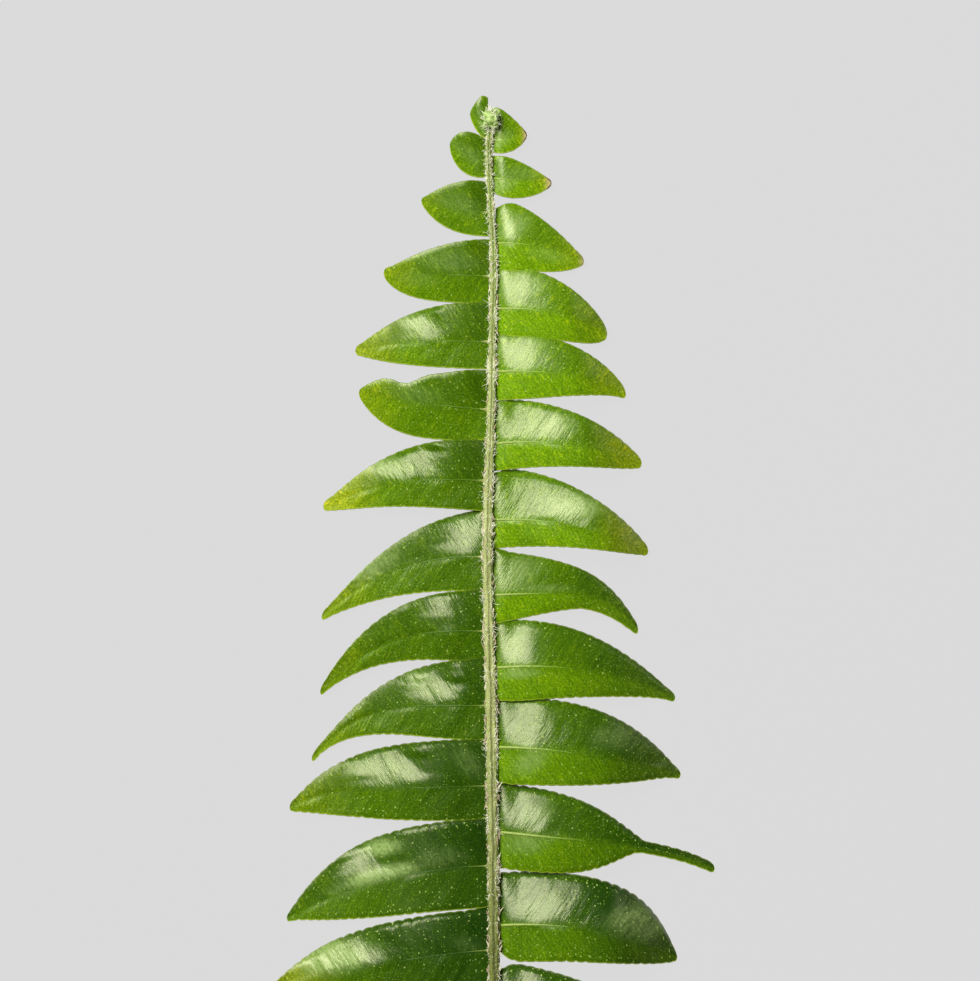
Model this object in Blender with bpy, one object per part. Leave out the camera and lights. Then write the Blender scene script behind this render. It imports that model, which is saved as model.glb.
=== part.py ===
"""Fern frond, picked and laid flat with its face up.

The upper part of a sword fern frond: a grooved rachis with pinnae set alternately on its
two sides, and a small rolled tip between its youngest leaflets. It grew as one piece, so it
is one solid. Every pinna is an arched blade that rises from the rachis and droops to its
tip, with its upper half falling away so that the pinna above it lies over its margin.

Frame: metres, +Z up, +Y along the rachis towards the rolled tip, the origin on the surface
under the middle of the frond's box. The sizes below are in millimetres.
"""

import math
from typing import NamedTuple

import bmesh
import bpy
import numpy as np

MM = 0.001

# Rachis and stipe
STIPE_END = -80.2
FLAT_STIPE = 10.0
RACHIS_END = 76.6
RACHIS_RADIUS = 0.75
RACHIS_TIP_RADIUS = 0.4
RACHIS_TAPER_START = -10.0
RACHIS_SPAN = 4.2
RACHIS_HEIGHT = 3.4
RACHIS_TIP_HEIGHT = 1.35
RISE_LENGTH = 34.0
FALL_START = 12.0
BEND_PLACES = (-80.2, -60.0, -42.0, -25.0, -5.0, 5.0, 15.0, 23.0, 30.0, 40.0, 50.0, 60.0, 67.0,
               73.5, 77.0)
BEND_OFFSETS = (0.05, 0.35, 0.48, 0.44, 0.2, 0.05, -0.2, -0.38, -0.25, 0.06, 0.25, 0.38, 0.06,
                -0.22, 0.05)
# The section is flat below, and has a groove between two ridges above: degrees, share of radius
SECTION_ANGLES = (236.0, 304.0, 345.0, 22.0, 60.0, 90.0, 120.0, 158.0, 195.0)
SECTION_RADII = (1.0, 1.0, 1.0, 1.0, 1.0, 0.74, 1.0, 1.0, 1.0)

# Rolled tip
CROZIER_RADIUS = 0.66
CROZIER_TURN = 285.0
CROZIER_STEPS = 12
CROZIER_SIDES = 8
CROZIER_SINK = 0.5
CROZIER_THICK_END = 0.36
CROZIER_THIN_END = 0.24
CROZIER_BUD_RADIUS = 0.34

# Blades
BLADE_THICKNESS = 0.68
BLADE_LIFT = 0.1
ROOT_SINK = 0.25
MARGIN_INSET = 0.12
TOOTH_DEPTH = 0.22
NARROWEST = 0.16
NOTCH_WIDTH = 0.12
TAIL_POWER = 12
STATION_LENGTH = 1.65
SHOULDER_LENGTH = 1.7
ARCH_SHARE = 0.088
ARCH_FALL = 1.25
DROOP_POWER = 2.2
UPPER_FALL = 1.1
LOWER_FALL = 0.3
FALL_POWER = 1.6
FALL_WIDTH = 5.0
FALL_START_SHARE = 0.35
FALL_GROWTH = 3.5
ACROSS = np.array([-1.0, -0.5, 0.0, 0.5, 1.0])

FROND_GREEN = (0.11, 0.21, 0.025, 1.0)
FROND_ROUGHNESS = 0.42


class Margin(NamedTuple):
    """One side of a blade: its half-width, and how it narrows to the tip and at the root."""
    width: float
    fullness: float
    bluntness: float
    shoulder: float = 0.0
    flare: float = 0.0
    notch: float = 0.0
    notch_place: float = 0.6
    blade_share: float = 1.0
    tail: float = 0.0


class Pinna(NamedTuple):
    """One blade: where its midrib starts and goes, its two margins and its tip's height."""
    side: int
    root: float
    reach: float
    lift: float
    sweep: float
    bend: float
    upper: Margin
    lower: Margin
    tip_height: float


LEFT = -1
RIGHT = 1

PINNAE = (
    Pinna(LEFT, 76.4, 2.6, 2.0, 0.0, 1.0, Margin(3.97, 1.1, 0.8), Margin(1.1, 2.0, 0.9), 0.5),
    Pinna(LEFT, 72.3, 4.9, 0.4, 1.5, 2.5, Margin(3.3, 3.5, 0.8, 0.27), Margin(2.2, 5.0, 0.6),
          0.9),
    Pinna(LEFT, 65.8, 8.8, 0.3, 1.2, 2.2, Margin(3.95, 2.4, 1.0, 0.18), Margin(3.0, 3.3, 0.75),
          0.8),
    Pinna(LEFT, 57.8, 13.8, 0.5, 0.0, 1.0, Margin(4.5, 2.0, 1.0), Margin(3.6, 4.5, 0.7), 0.6),
    Pinna(LEFT, 49.6, 17.2, 0.5, -1.6, 3.0, Margin(4.8, 2.4, 1.0), Margin(3.6, 2.8, 0.85), 0.3),
    Pinna(LEFT, 41.1, 16.6, 1.0, 1.1, 1.8, Margin(4.9, 2.6, 0.8, notch=1.3, notch_place=0.63),
          Margin(3.5, 4.0, 0.8, flare=0.5), 0.7),
    Pinna(LEFT, 32.2, 20.8, 1.0, -4.0, 2.8, Margin(5.0, 2.5, 1.1), Margin(3.7, 1.7, 0.6), 0.0),
    Pinna(LEFT, 22.7, 20.8, 0.3, -7.6, 2.5, Margin(5.9, 1.5, 1.0, 0.05), Margin(4.2, 2.2, 0.85),
          0.2),
    Pinna(LEFT, 13.4, 21.2, 0.6, -8.0, 3.1, Margin(5.0, 1.8, 0.75), Margin(3.8, 1.9, 0.85), 0.5),
    Pinna(LEFT, 4.1, 22.5, 0.4, -6.8, 4.6, Margin(5.8, 2.2, 1.5), Margin(4.4, 2.6, 1.1), 0.0),
    Pinna(LEFT, -5.9, 25.4, -0.5, -2.3, 6.0, Margin(5.9, 3.2, 0.9, 0.05),
          Margin(4.0, 3.4, 0.75, 0.1), 0.7),
    Pinna(LEFT, -15.9, 25.9, -0.2, -6.5, 2.1, Margin(6.2, 4.0, 1.0), Margin(4.8, 3.2, 1.1, 0.08),
          0.3),
    Pinna(LEFT, -26.4, 28.5, -1.6, -4.0, 2.0, Margin(4.9, 4.0, 1.0, -0.18),
          Margin(4.9, 2.6, 0.9, 0.06), 0.0),
    Pinna(LEFT, -36.9, 27.6, -1.0, -4.5, 2.3, Margin(5.4, 3.6, 1.0), Margin(4.7, 2.8, 0.9), 0.4),
    Pinna(LEFT, -47.4, 26.2, -1.4, -4.2, 2.0, Margin(5.2, 3.4, 0.95), Margin(4.5, 2.8, 0.9), 0.0),
    Pinna(RIGHT, 75.1, 4.7, 0.4, 0.0, 1.0, Margin(4.2, 1.2, 0.9), Margin(1.9, 3.5, 0.8, 0.2),
          0.7),
    Pinna(RIGHT, 70.1, 7.8, -0.6, 0.0, 1.0, Margin(3.1, 1.5, 0.95, 0.3),
          Margin(2.3, 3.0, 0.8, 0.4), 0.6),
    Pinna(RIGHT, 61.9, 11.4, 1.0, -3.2, 1.9, Margin(5.0, 1.5, 0.9, 0.3), Margin(3.2, 3.2, 0.8),
          0.6),
    Pinna(RIGHT, 53.7, 14.3, 0.9, -4.0, 2.2, Margin(5.3, 1.9, 0.6, 0.14),
          Margin(3.3, 3.4, 0.6, 0.1), 0.4),
    Pinna(RIGHT, 45.9, 16.8, 0.2, -3.1, 3.0, Margin(4.7, 1.9, 0.65, 0.15),
          Margin(3.5, 2.2, 0.95), 0.5),
    Pinna(RIGHT, 36.8, 19.0, 2.2, -4.6, 2.0, Margin(5.2, 1.8, 0.75, 0.1),
          Margin(3.4, 1.6, 0.55), 0.0),
    Pinna(RIGHT, 27.3, 20.1, 1.2, -5.1, 2.1, Margin(6.3, 1.6, 0.75, 0.25),
          Margin(3.7, 1.5, 0.6), 0.4),
    Pinna(RIGHT, 17.9, 18.8, 0.8, -5.2, 5.2, Margin(5.6, 1.3, 0.75, 0.08, tail=0.8),
          Margin(3.9, 1.0, 0.8, tail=0.9), 0.3),
    Pinna(RIGHT, 8.8, 23.2, 2.0, -5.8, 2.3, Margin(5.8, 2.15, 0.95, 0.28),
          Margin(4.3, 2.2, 1.0, 0.16), 0.2),
    Pinna(RIGHT, -1.1, 23.7, 0.8, -4.3, 1.8, Margin(6.1, 4.2, 1.0),
          Margin(4.6, 2.6, 1.1, 0.12), 0.0),
    Pinna(RIGHT, -11.6, 27.8, -2.6, -2.2, 5.0,
          Margin(6.1, 3.3, 1.1, blade_share=0.72, tail=0.45),
          Margin(4.4, 4.5, 2.0, 0.1, blade_share=0.68, tail=0.45), 0.6),
    Pinna(RIGHT, -23.4, 23.0, 2.0, -6.1, 2.2, Margin(6.4, 6.5, 1.0),
          Margin(4.7, 2.2, 0.75, 0.6), 0.0),
    Pinna(RIGHT, -33.9, 24.5, -0.6, -3.6, 2.0, Margin(5.9, 1.6, 0.9, 0.3),
          Margin(4.3, 2.4, 0.85, 0.15), 0.4),
    Pinna(RIGHT, -44.4, 25.5, 0.0, -4.2, 2.2, Margin(5.8, 2.2, 0.9, 0.2),
          Margin(4.3, 2.6, 0.9, 0.1), 0.2),
    Pinna(RIGHT, -54.9, 24.2, -0.4, -4.4, 2.0, Margin(5.5, 2.2, 0.9, 0.2),
          Margin(4.1, 2.4, 0.9, 0.1), 0.0),
)


def clear_scene():
    """Start from an empty scene."""
    for old in list(bpy.data.objects):
        bpy.data.objects.remove(old)


def smooth_step(t):
    """Go from 0 to 1 with level ends as t goes from 0 to 1."""
    t = np.clip(t, 0.0, 1.0)
    return t * t * (3.0 - 2.0 * t)


def curve_through(places, offsets, where):
    """Read a smooth curve through hand-set points: cubic pieces with shared slopes."""
    places = np.asarray(places)
    offsets = np.asarray(offsets)
    slopes = np.gradient(offsets, places)
    where = np.atleast_1d(np.asarray(where, dtype=float))
    k = np.clip(np.searchsorted(places, where) - 1, 0, len(places) - 2)
    gap = places[k + 1] - places[k]
    t = np.clip((where - places[k]) / gap, 0.0, 1.0)
    return (offsets[k] * (1.0 + 2.0 * t) * (1.0 - t) ** 2
            + slopes[k] * gap * t * (1.0 - t) ** 2
            + offsets[k + 1] * t * t * (3.0 - 2.0 * t)
            + slopes[k + 1] * gap * t * t * (t - 1.0))


def rachis_offset(y):
    """Sideways place of the rachis axis."""
    return curve_through(BEND_PLACES, BEND_OFFSETS, y)


def rachis_radius(y):
    """Half the rachis' width: even below, tapering slowly to the rolled tip."""
    share = smooth_step((np.asarray(y) - RACHIS_TAPER_START) / (RACHIS_END - RACHIS_TAPER_START))
    return RACHIS_RADIUS + (RACHIS_TIP_RADIUS - RACHIS_RADIUS) * share


def rachis_height(y):
    """Height of the rachis axis: flat on the surface at the cut end, raised by the pinnae."""
    flat = -RACHIS_RADIUS * math.sin(math.radians(SECTION_ANGLES[0]))
    rise = smooth_step((np.asarray(y) - STIPE_END - FLAT_STIPE) / RISE_LENGTH)
    fall = smooth_step((np.asarray(y) - FALL_START) / (RACHIS_END - FALL_START))
    return flat + (RACHIS_HEIGHT - flat) * rise - (RACHIS_HEIGHT - RACHIS_TIP_HEIGHT) * fall


def new_object(name, vertices, faces):
    """Make an object from points in millimetres, with its faces pointing out."""
    mesh = bpy.data.meshes.new(name)
    mesh.from_pydata([tuple(p) for p in np.asarray(vertices) * MM], [], faces)
    work = bmesh.new()
    work.from_mesh(mesh)
    bmesh.ops.recalc_face_normals(work, faces=work.faces)
    work.to_mesh(mesh)
    work.free()
    return bpy.data.objects.new(name, mesh)


def tube(name, centres, across, upward, radii, angles, shares):
    """Carry a section along a path; across and upward are its two directions at each place."""
    angles = np.radians(angles)
    sides = np.asarray(shares) * np.cos(angles)
    rises = np.asarray(shares) * np.sin(angles)
    points = (centres[:, None, :]
              + radii[:, None, None] * (sides[None, :, None] * across[:, None, :]
                                        + rises[None, :, None] * upward[:, None, :]))
    count = len(angles)
    rings = len(centres)
    faces = [(r * count + k, r * count + (k + 1) % count,
              (r + 1) * count + (k + 1) % count, (r + 1) * count + k)
             for r in range(rings - 1) for k in range(count)]
    faces.append(tuple(range(count)))
    faces.append(tuple((rings - 1) * count + k for k in range(count)))
    return new_object(name, points.reshape(-1, 3), faces)


def make_rachis():
    """Sweep the grooved section from the cut end of the stipe to the rolled tip."""
    flat_end = STIPE_END + FLAT_STIPE
    rings = round((RACHIS_END - flat_end) / RACHIS_SPAN)
    y = np.concatenate([[STIPE_END], np.linspace(flat_end, RACHIS_END, rings + 1)])
    centres = np.column_stack([rachis_offset(y), y, rachis_height(y)])
    across = np.tile([1.0, 0.0, 0.0], (len(y), 1))
    upward = np.tile([0.0, 0.0, 1.0], (len(y), 1))
    return tube("frond", centres, across, upward, rachis_radius(y), SECTION_ANGLES,
                SECTION_RADII)


def make_crozier():
    """Roll the end of the rachis up and back over itself, in the plane that stands on it."""
    x = float(rachis_offset(RACHIS_END)[0])
    centre_y = RACHIS_END - CROZIER_SINK + CROZIER_RADIUS
    centre_z = float(rachis_height(RACHIS_END)) + CROZIER_RADIUS
    turn = np.radians(np.linspace(-90.0, -90.0 + CROZIER_TURN, CROZIER_STEPS))
    roll_y = centre_y + CROZIER_RADIUS * np.cos(turn)
    roll_z = centre_z + CROZIER_RADIUS * np.sin(turn)
    centres = np.column_stack([np.full(CROZIER_STEPS, x), roll_y, roll_z])
    across = np.tile([1.0, 0.0, 0.0], (CROZIER_STEPS, 1))
    outward = np.column_stack([np.zeros(CROZIER_STEPS), np.cos(turn), np.sin(turn)])
    radii = np.linspace(CROZIER_THICK_END, CROZIER_THIN_END, CROZIER_STEPS)
    angles = (np.arange(CROZIER_SIDES) + 0.25) * 360.0 / CROZIER_SIDES
    roll = tube("rolled tip", centres, across, outward, radii, angles, np.ones(CROZIER_SIDES))
    bud = bmesh.new()
    bmesh.ops.create_icosphere(bud, subdivisions=1, radius=CROZIER_BUD_RADIUS * MM)
    bmesh.ops.translate(bud, verts=bud.verts,
                        vec=np.array([x, centre_y, centre_z]) * MM)
    mesh = bpy.data.meshes.new("bud")
    bud.to_mesh(mesh)
    bud.free()
    return [roll, bpy.data.objects.new("bud", mesh)]


def margin_width(margin, s, reach):
    """Half-width of one side: a full blade that closes at the tip, less its notch and teeth."""
    t = np.clip(s / margin.blade_share, 0.0, 1.0)
    width = margin.width * (1.0 + margin.flare * t)
    width = width * (1.0 - t ** margin.fullness) ** margin.bluntness
    width = width - margin.notch * np.exp(-((s - margin.notch_place) / NOTCH_WIDTH) ** 2)
    width = width * (1.0 - margin.shoulder * np.exp(-(s * reach / SHOULDER_LENGTH) ** 2))
    teeth = TOOTH_DEPTH * (np.arange(len(s)) % 2)
    least = np.maximum(margin.tail * (1.0 - s ** TAIL_POWER) ** 0.5, NARROWEST * (s < 1.0))
    return np.maximum(width - MARGIN_INSET - teeth, least)


def make_blade(pinna):
    """Build one pinna as an arched sheet: the same triangles above and below, walls between."""
    steps = max(5, round(pinna.reach / STATION_LENGTH))
    s = np.linspace(ROOT_SINK / pinna.reach, 1.0, steps + 1)
    rib_y = pinna.root + pinna.lift * s + pinna.sweep * s ** pinna.bend
    upper = margin_width(pinna.upper, s, pinna.reach)
    lower = margin_width(pinna.lower, s, pinna.reach)
    away = np.where(ACROSS > 0.0, ACROSS * upper[:, None], ACROSS * lower[:, None])
    root_z = float(rachis_height(pinna.root)) + BLADE_LIFT
    tip_z = BLADE_THICKNESS + pinna.tip_height
    crest = 1.0 / (1.0 + ARCH_FALL)
    arch = s * (1.0 - s) ** ARCH_FALL / (crest * (1.0 - crest) ** ARCH_FALL)
    arch = arch * ARCH_SHARE * pinna.reach
    middle_z = root_z + (tip_z - root_z) * s ** DROOP_POWER + arch
    fall = np.where(ACROSS > 0.0, UPPER_FALL, LOWER_FALL)[None, :]
    fall = fall * (np.abs(away) / FALL_WIDTH) ** FALL_POWER
    opening = smooth_step(s * pinna.reach / FALL_GROWTH)[:, None]
    fall = fall * (FALL_START_SHARE + (1.0 - FALL_START_SHARE) * opening)
    top_z = np.maximum(middle_z[:, None] - fall, BLADE_THICKNESS)
    x = float(rachis_offset(pinna.root)[0]) + pinna.side * pinna.reach * s
    top = np.stack([np.broadcast_to(x[:, None], away.shape), rib_y[:, None] + away, top_z], axis=2)
    body = top[:-1].reshape(-1, 3)
    tip = top[-1, 2]
    below = np.array([0.0, 0.0, BLADE_THICKNESS])
    vertices = np.vstack([body, tip, body - below, tip - below])
    return new_object("pinna", vertices, blade_faces(steps, len(ACROSS), len(body) + 1))


def blade_faces(rows, columns, under):
    """List the triangles of a sheet whose last row is one point; under is the lower copy."""
    tip = rows * columns
    top = []
    for i in range(rows - 1):
        for j in range(columns - 1):
            a, b = i * columns + j, i * columns + j + 1
            c, d = a + columns, b + columns
            top += [(a, b, d), (a, d, c)] if (i + j) % 2 else [(a, b, c), (b, d, c)]
    last = (rows - 1) * columns
    top += [(last + j, last + j + 1, tip) for j in range(columns - 1)]
    faces = top + [tuple(k + under for k in reversed(face)) for face in top]
    for edge in (0, columns - 1):
        line = [i * columns + edge for i in range(rows)] + [tip]
        faces += [(a, b, b + under, a + under) for a, b in zip(line, line[1:])]
    faces += [(j, j + 1, j + 1 + under, j + under) for j in range(columns - 1)]
    return faces


def frond_material():
    """Fresh green blade with a soft sheen."""
    material = bpy.data.materials.new("frond green")
    material.use_nodes = True
    shader = material.node_tree.nodes["Principled BSDF"]
    shader.inputs["Base Color"].default_value = FROND_GREEN
    shader.inputs["Roughness"].default_value = FROND_ROUGHNESS
    shader.inputs["Metallic"].default_value = 0.0
    return material


def join_to_rachis(rachis, pieces):
    """Fuse the pieces to the rachis with one union, then drop them."""
    group = bpy.data.collections.new("pinnae")
    bpy.context.scene.collection.children.link(group)
    for piece in pieces:
        group.objects.link(piece)
    union = rachis.modifiers.new("grown together", "BOOLEAN")
    union.operation = "UNION"
    union.operand_type = "COLLECTION"
    union.collection = group
    union.solver = "MANIFOLD"
    bpy.context.view_layer.objects.active = rachis
    bpy.ops.object.modifier_apply(modifier=union.name)
    for piece in pieces:
        bpy.data.objects.remove(piece)
    bpy.data.collections.remove(group)


def main():
    clear_scene()
    rachis = make_rachis()
    bpy.context.scene.collection.objects.link(rachis)
    join_to_rachis(rachis, [make_blade(pinna) for pinna in PINNAE] + make_crozier())
    rachis.data.materials.clear()
    rachis.data.materials.append(frond_material())


if __name__ == "__main__":
    main()
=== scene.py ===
"""Fern frond, picked and laid face up: the looks that are dressed around the packed part.

The file is laid out as an add-on and is run as a script. It loads the packed frond as a
fixed frame, grows the visible pieces over it and sets up the plain studio.
Lengths inside the functions are millimetres in the frame's axes: x across the frond, y along
the rachis towards the rolled tip, z up from the surface that the frond lies on.
"""

import math
from typing import NamedTuple

import bpy
import numpy as np
from bpy.props import FloatProperty, FloatVectorProperty, IntProperty, PointerProperty
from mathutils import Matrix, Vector


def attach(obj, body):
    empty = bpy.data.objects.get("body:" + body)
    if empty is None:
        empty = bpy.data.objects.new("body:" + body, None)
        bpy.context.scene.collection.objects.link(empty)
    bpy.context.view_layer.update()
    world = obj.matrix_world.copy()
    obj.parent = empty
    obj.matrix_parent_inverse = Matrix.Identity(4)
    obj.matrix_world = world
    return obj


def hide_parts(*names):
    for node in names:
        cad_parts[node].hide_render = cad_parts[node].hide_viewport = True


bl_info = {
    "name": "Fern Frond",
    "version": (1, 0, 0),
    "blender": (4, 5, 0),
    "location": "3D View > Sidebar > Frond",
    "description": "Grows a sword fern frond over its packed solid",
    "category": "Object",
}

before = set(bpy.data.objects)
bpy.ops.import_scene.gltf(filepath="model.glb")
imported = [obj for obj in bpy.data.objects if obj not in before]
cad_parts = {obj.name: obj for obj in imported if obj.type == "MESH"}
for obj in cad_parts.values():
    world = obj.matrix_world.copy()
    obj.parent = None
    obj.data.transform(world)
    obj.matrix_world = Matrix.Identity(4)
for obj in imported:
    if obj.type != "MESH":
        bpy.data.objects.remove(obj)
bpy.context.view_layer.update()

MM = 0.001
NODE = "frond"
BODY = "root"
NUMBER = "NodeSocketFloat"
VECTOR = "NodeSocketVector"
LEFT = -1
RIGHT = 1

# The solid's own driving dimensions, repeated because the pieces lie on its forms
STIPE_END = -80.2
FLAT_STIPE = 10.0
RACHIS_END = 76.6
RACHIS_RADIUS = 0.75
RACHIS_TIP_RADIUS = 0.4
RACHIS_TAPER_START = -10.0
RACHIS_HEIGHT = 3.4
RACHIS_TIP_HEIGHT = 1.35
RISE_LENGTH = 34.0
FALL_START = 12.0
FLAT_BELOW = 0.829
BEND_PLACES = (-80.2, -60.0, -42.0, -25.0, -5.0, 5.0, 15.0, 23.0, 30.0, 40.0, 50.0, 60.0, 67.0,
               73.5, 77.0)
BEND_OFFSETS = (0.05, 0.35, 0.48, 0.44, 0.2, 0.05, -0.2, -0.38, -0.25, 0.06, 0.25, 0.38, 0.06,
                -0.22, 0.05)
SOLID_THICKNESS = 0.68
BLADE_LIFT = 0.1
NOTCH_WIDTH = 0.12
TAIL_POWER = 12
SHOULDER_LENGTH = 1.7
DROOP_POWER = 2.2
LOWER_FALL = 0.3
FALL_POWER = 1.6
FALL_WIDTH = 5.0
FALL_START_SHARE = 0.35
FALL_GROWTH = 3.5

# How high blades arch, and how their halves fall away, crease, and turn up where they are
# dull, all a little unlike the solid's
ARCH_SHARE = 0.08
UPPER_FALL = 0.85
UPPER_CREASE = 0.06
LOWER_CREASE = 0.1
DULL_TURN = 0.24

# Rachis section, rolled tip and tuft
RACHIS_RINGS = 440
RACHIS_POINTS = 48
COIL_RADIUS = 0.9
COIL_MIDDLE = 77.35
COIL_SHRINK = 0.62
COIL_TURN = 560.0
COIL_LEAD = 1.6
LEAFLETS = 22
TUFT_SIZE = (0.9, 1.3, 1.1)

# Outline touches of the pieces: fuller shoulders, rounded tips, and the line of the arch
SHOULDER_SHARE = 0.6
WIDER = 0.09
NARROWEST = 0.01
ROUND_UPPER = 0.6
ROUND_LOWER = 0.65
NOTCH_FOOT = 0.42
NOTCH_FOOT_WIDTH = 0.2
YOUNG_PINCH = 0.3
PINCH_LENGTH = 0.9
ARCH_PLACES = (0.0, 0.08, 0.16, 0.23, 0.29, 0.37, 0.48, 0.62, 0.78, 0.9, 1.0)
ARCH_HEIGHTS = (0.0, 0.37, 0.72, 0.95, 1.0, 0.91, 0.74, 0.49, 0.25, 0.11, 0.0)

# Groove over the midrib, roll of the margin, and length of the sunken root
GROOVE_DEPTH = 0.06
GROOVE_WIDTH = 0.25
ROLL_WIDTH = 0.8
ROOT_LENGTH = 1.1

# By side: how far the root of a blade is sunk, the share of full size that its midrib has, and
# how quickly the midrib greens and how green it starts
ROOT_SINK = {LEFT: 0.2, RIGHT: 0.45}
MIDRIB_SIZE = {LEFT: 0.5, RIGHT: 1.0}
# On the left the midrib fades sooner into the blade's green, which there is painted shade
MIDRIB_FADE = {LEFT: (2.4, 0.35), RIGHT: (1.45, 0.0)}

# How veins and teeth lie on every blade, how deep its broad pleats are beside its folds, and
# the lower teeth beside the upper
VEIN_LEAN = 0.58
PLEAT = 2.2
TOOTH_PITCH = 1.3
LOWER_TEETH = 0.8

# Blades that are yellow, dull and brown, or dry at the tip, by their number among the pinnae
RIPE_ENDS = {2: 0.2, 3: 0.3, 4: 0.6, 5: 0.3, 6: 1.0, 7: 0.35, 8: 0.2, 9: 0.2, 10: 0.2, 12: 0.6,
             15: 0.5, 16: 0.45, 17: 0.35, 18: 0.25, 19: 0.4, 20: 0.7, 21: 0.7}
WORN_ENDS = {22: 0.3, 23: 0.4, 24: 0.5, 25: 0.25, 26: 0.4}
DRY_ENDS = {0: 0.45, 15: 1.0, 16: 0.9, 17: 0.6, 18: 0.3}
DRY_ELSEWHERE = 0.06

# Colours that stay as they are, the last two with their alpha
BURNT_BROWN = (0.06, 0.02, 0.012)
STALK_GREEN = (0.25, 0.38, 0.06)
YOUNG_GREEN = (0.22, 0.44, 0.03)
FELT_GREEN = (0.66, 0.8, 0.3)
OLD_HAIR = (0.9, 0.92, 0.66)
PALE_SCALE = (0.84, 0.8, 0.56)
LEAF_TINT = (1.0, 0.98, 0.66, 1.0)
WHITE = (1.0, 1.0, 1.0, 1.0)

# Studio: the view in millimetres, the lamps and the floor's half-width in metres
VIEW_MIDDLE = (-0.0625, 31.0)
VIEW_FIELD = 122.625
LENS = 300.0
SENSOR = 36.0
BLADE_PLANE = 3.0
LAMP_DISTANCE = 1.1
KEY_ANGLES = (138.0, 54.0)
KEY_WIDTH = 0.6
SIDE_ANGLES = (30.0, 24.0)
SIDE_WIDTH = 0.4
FLOOR_REACH = 5.0


class Margin(NamedTuple):
    """One side of a blade: its half-width, and how it narrows to the tip and at the root."""
    width: float
    fullness: float
    bluntness: float
    shoulder: float = 0.0
    flare: float = 0.0
    notch: float = 0.0
    notch_place: float = 0.6
    blade_share: float = 1.0
    tail: float = 0.0


class Pinna(NamedTuple):
    """One blade: where its midrib starts and goes, its two margins and its tip's height."""
    side: int
    root: float
    reach: float
    lift: float
    sweep: float
    bend: float
    upper: Margin
    lower: Margin
    tip_height: float


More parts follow.
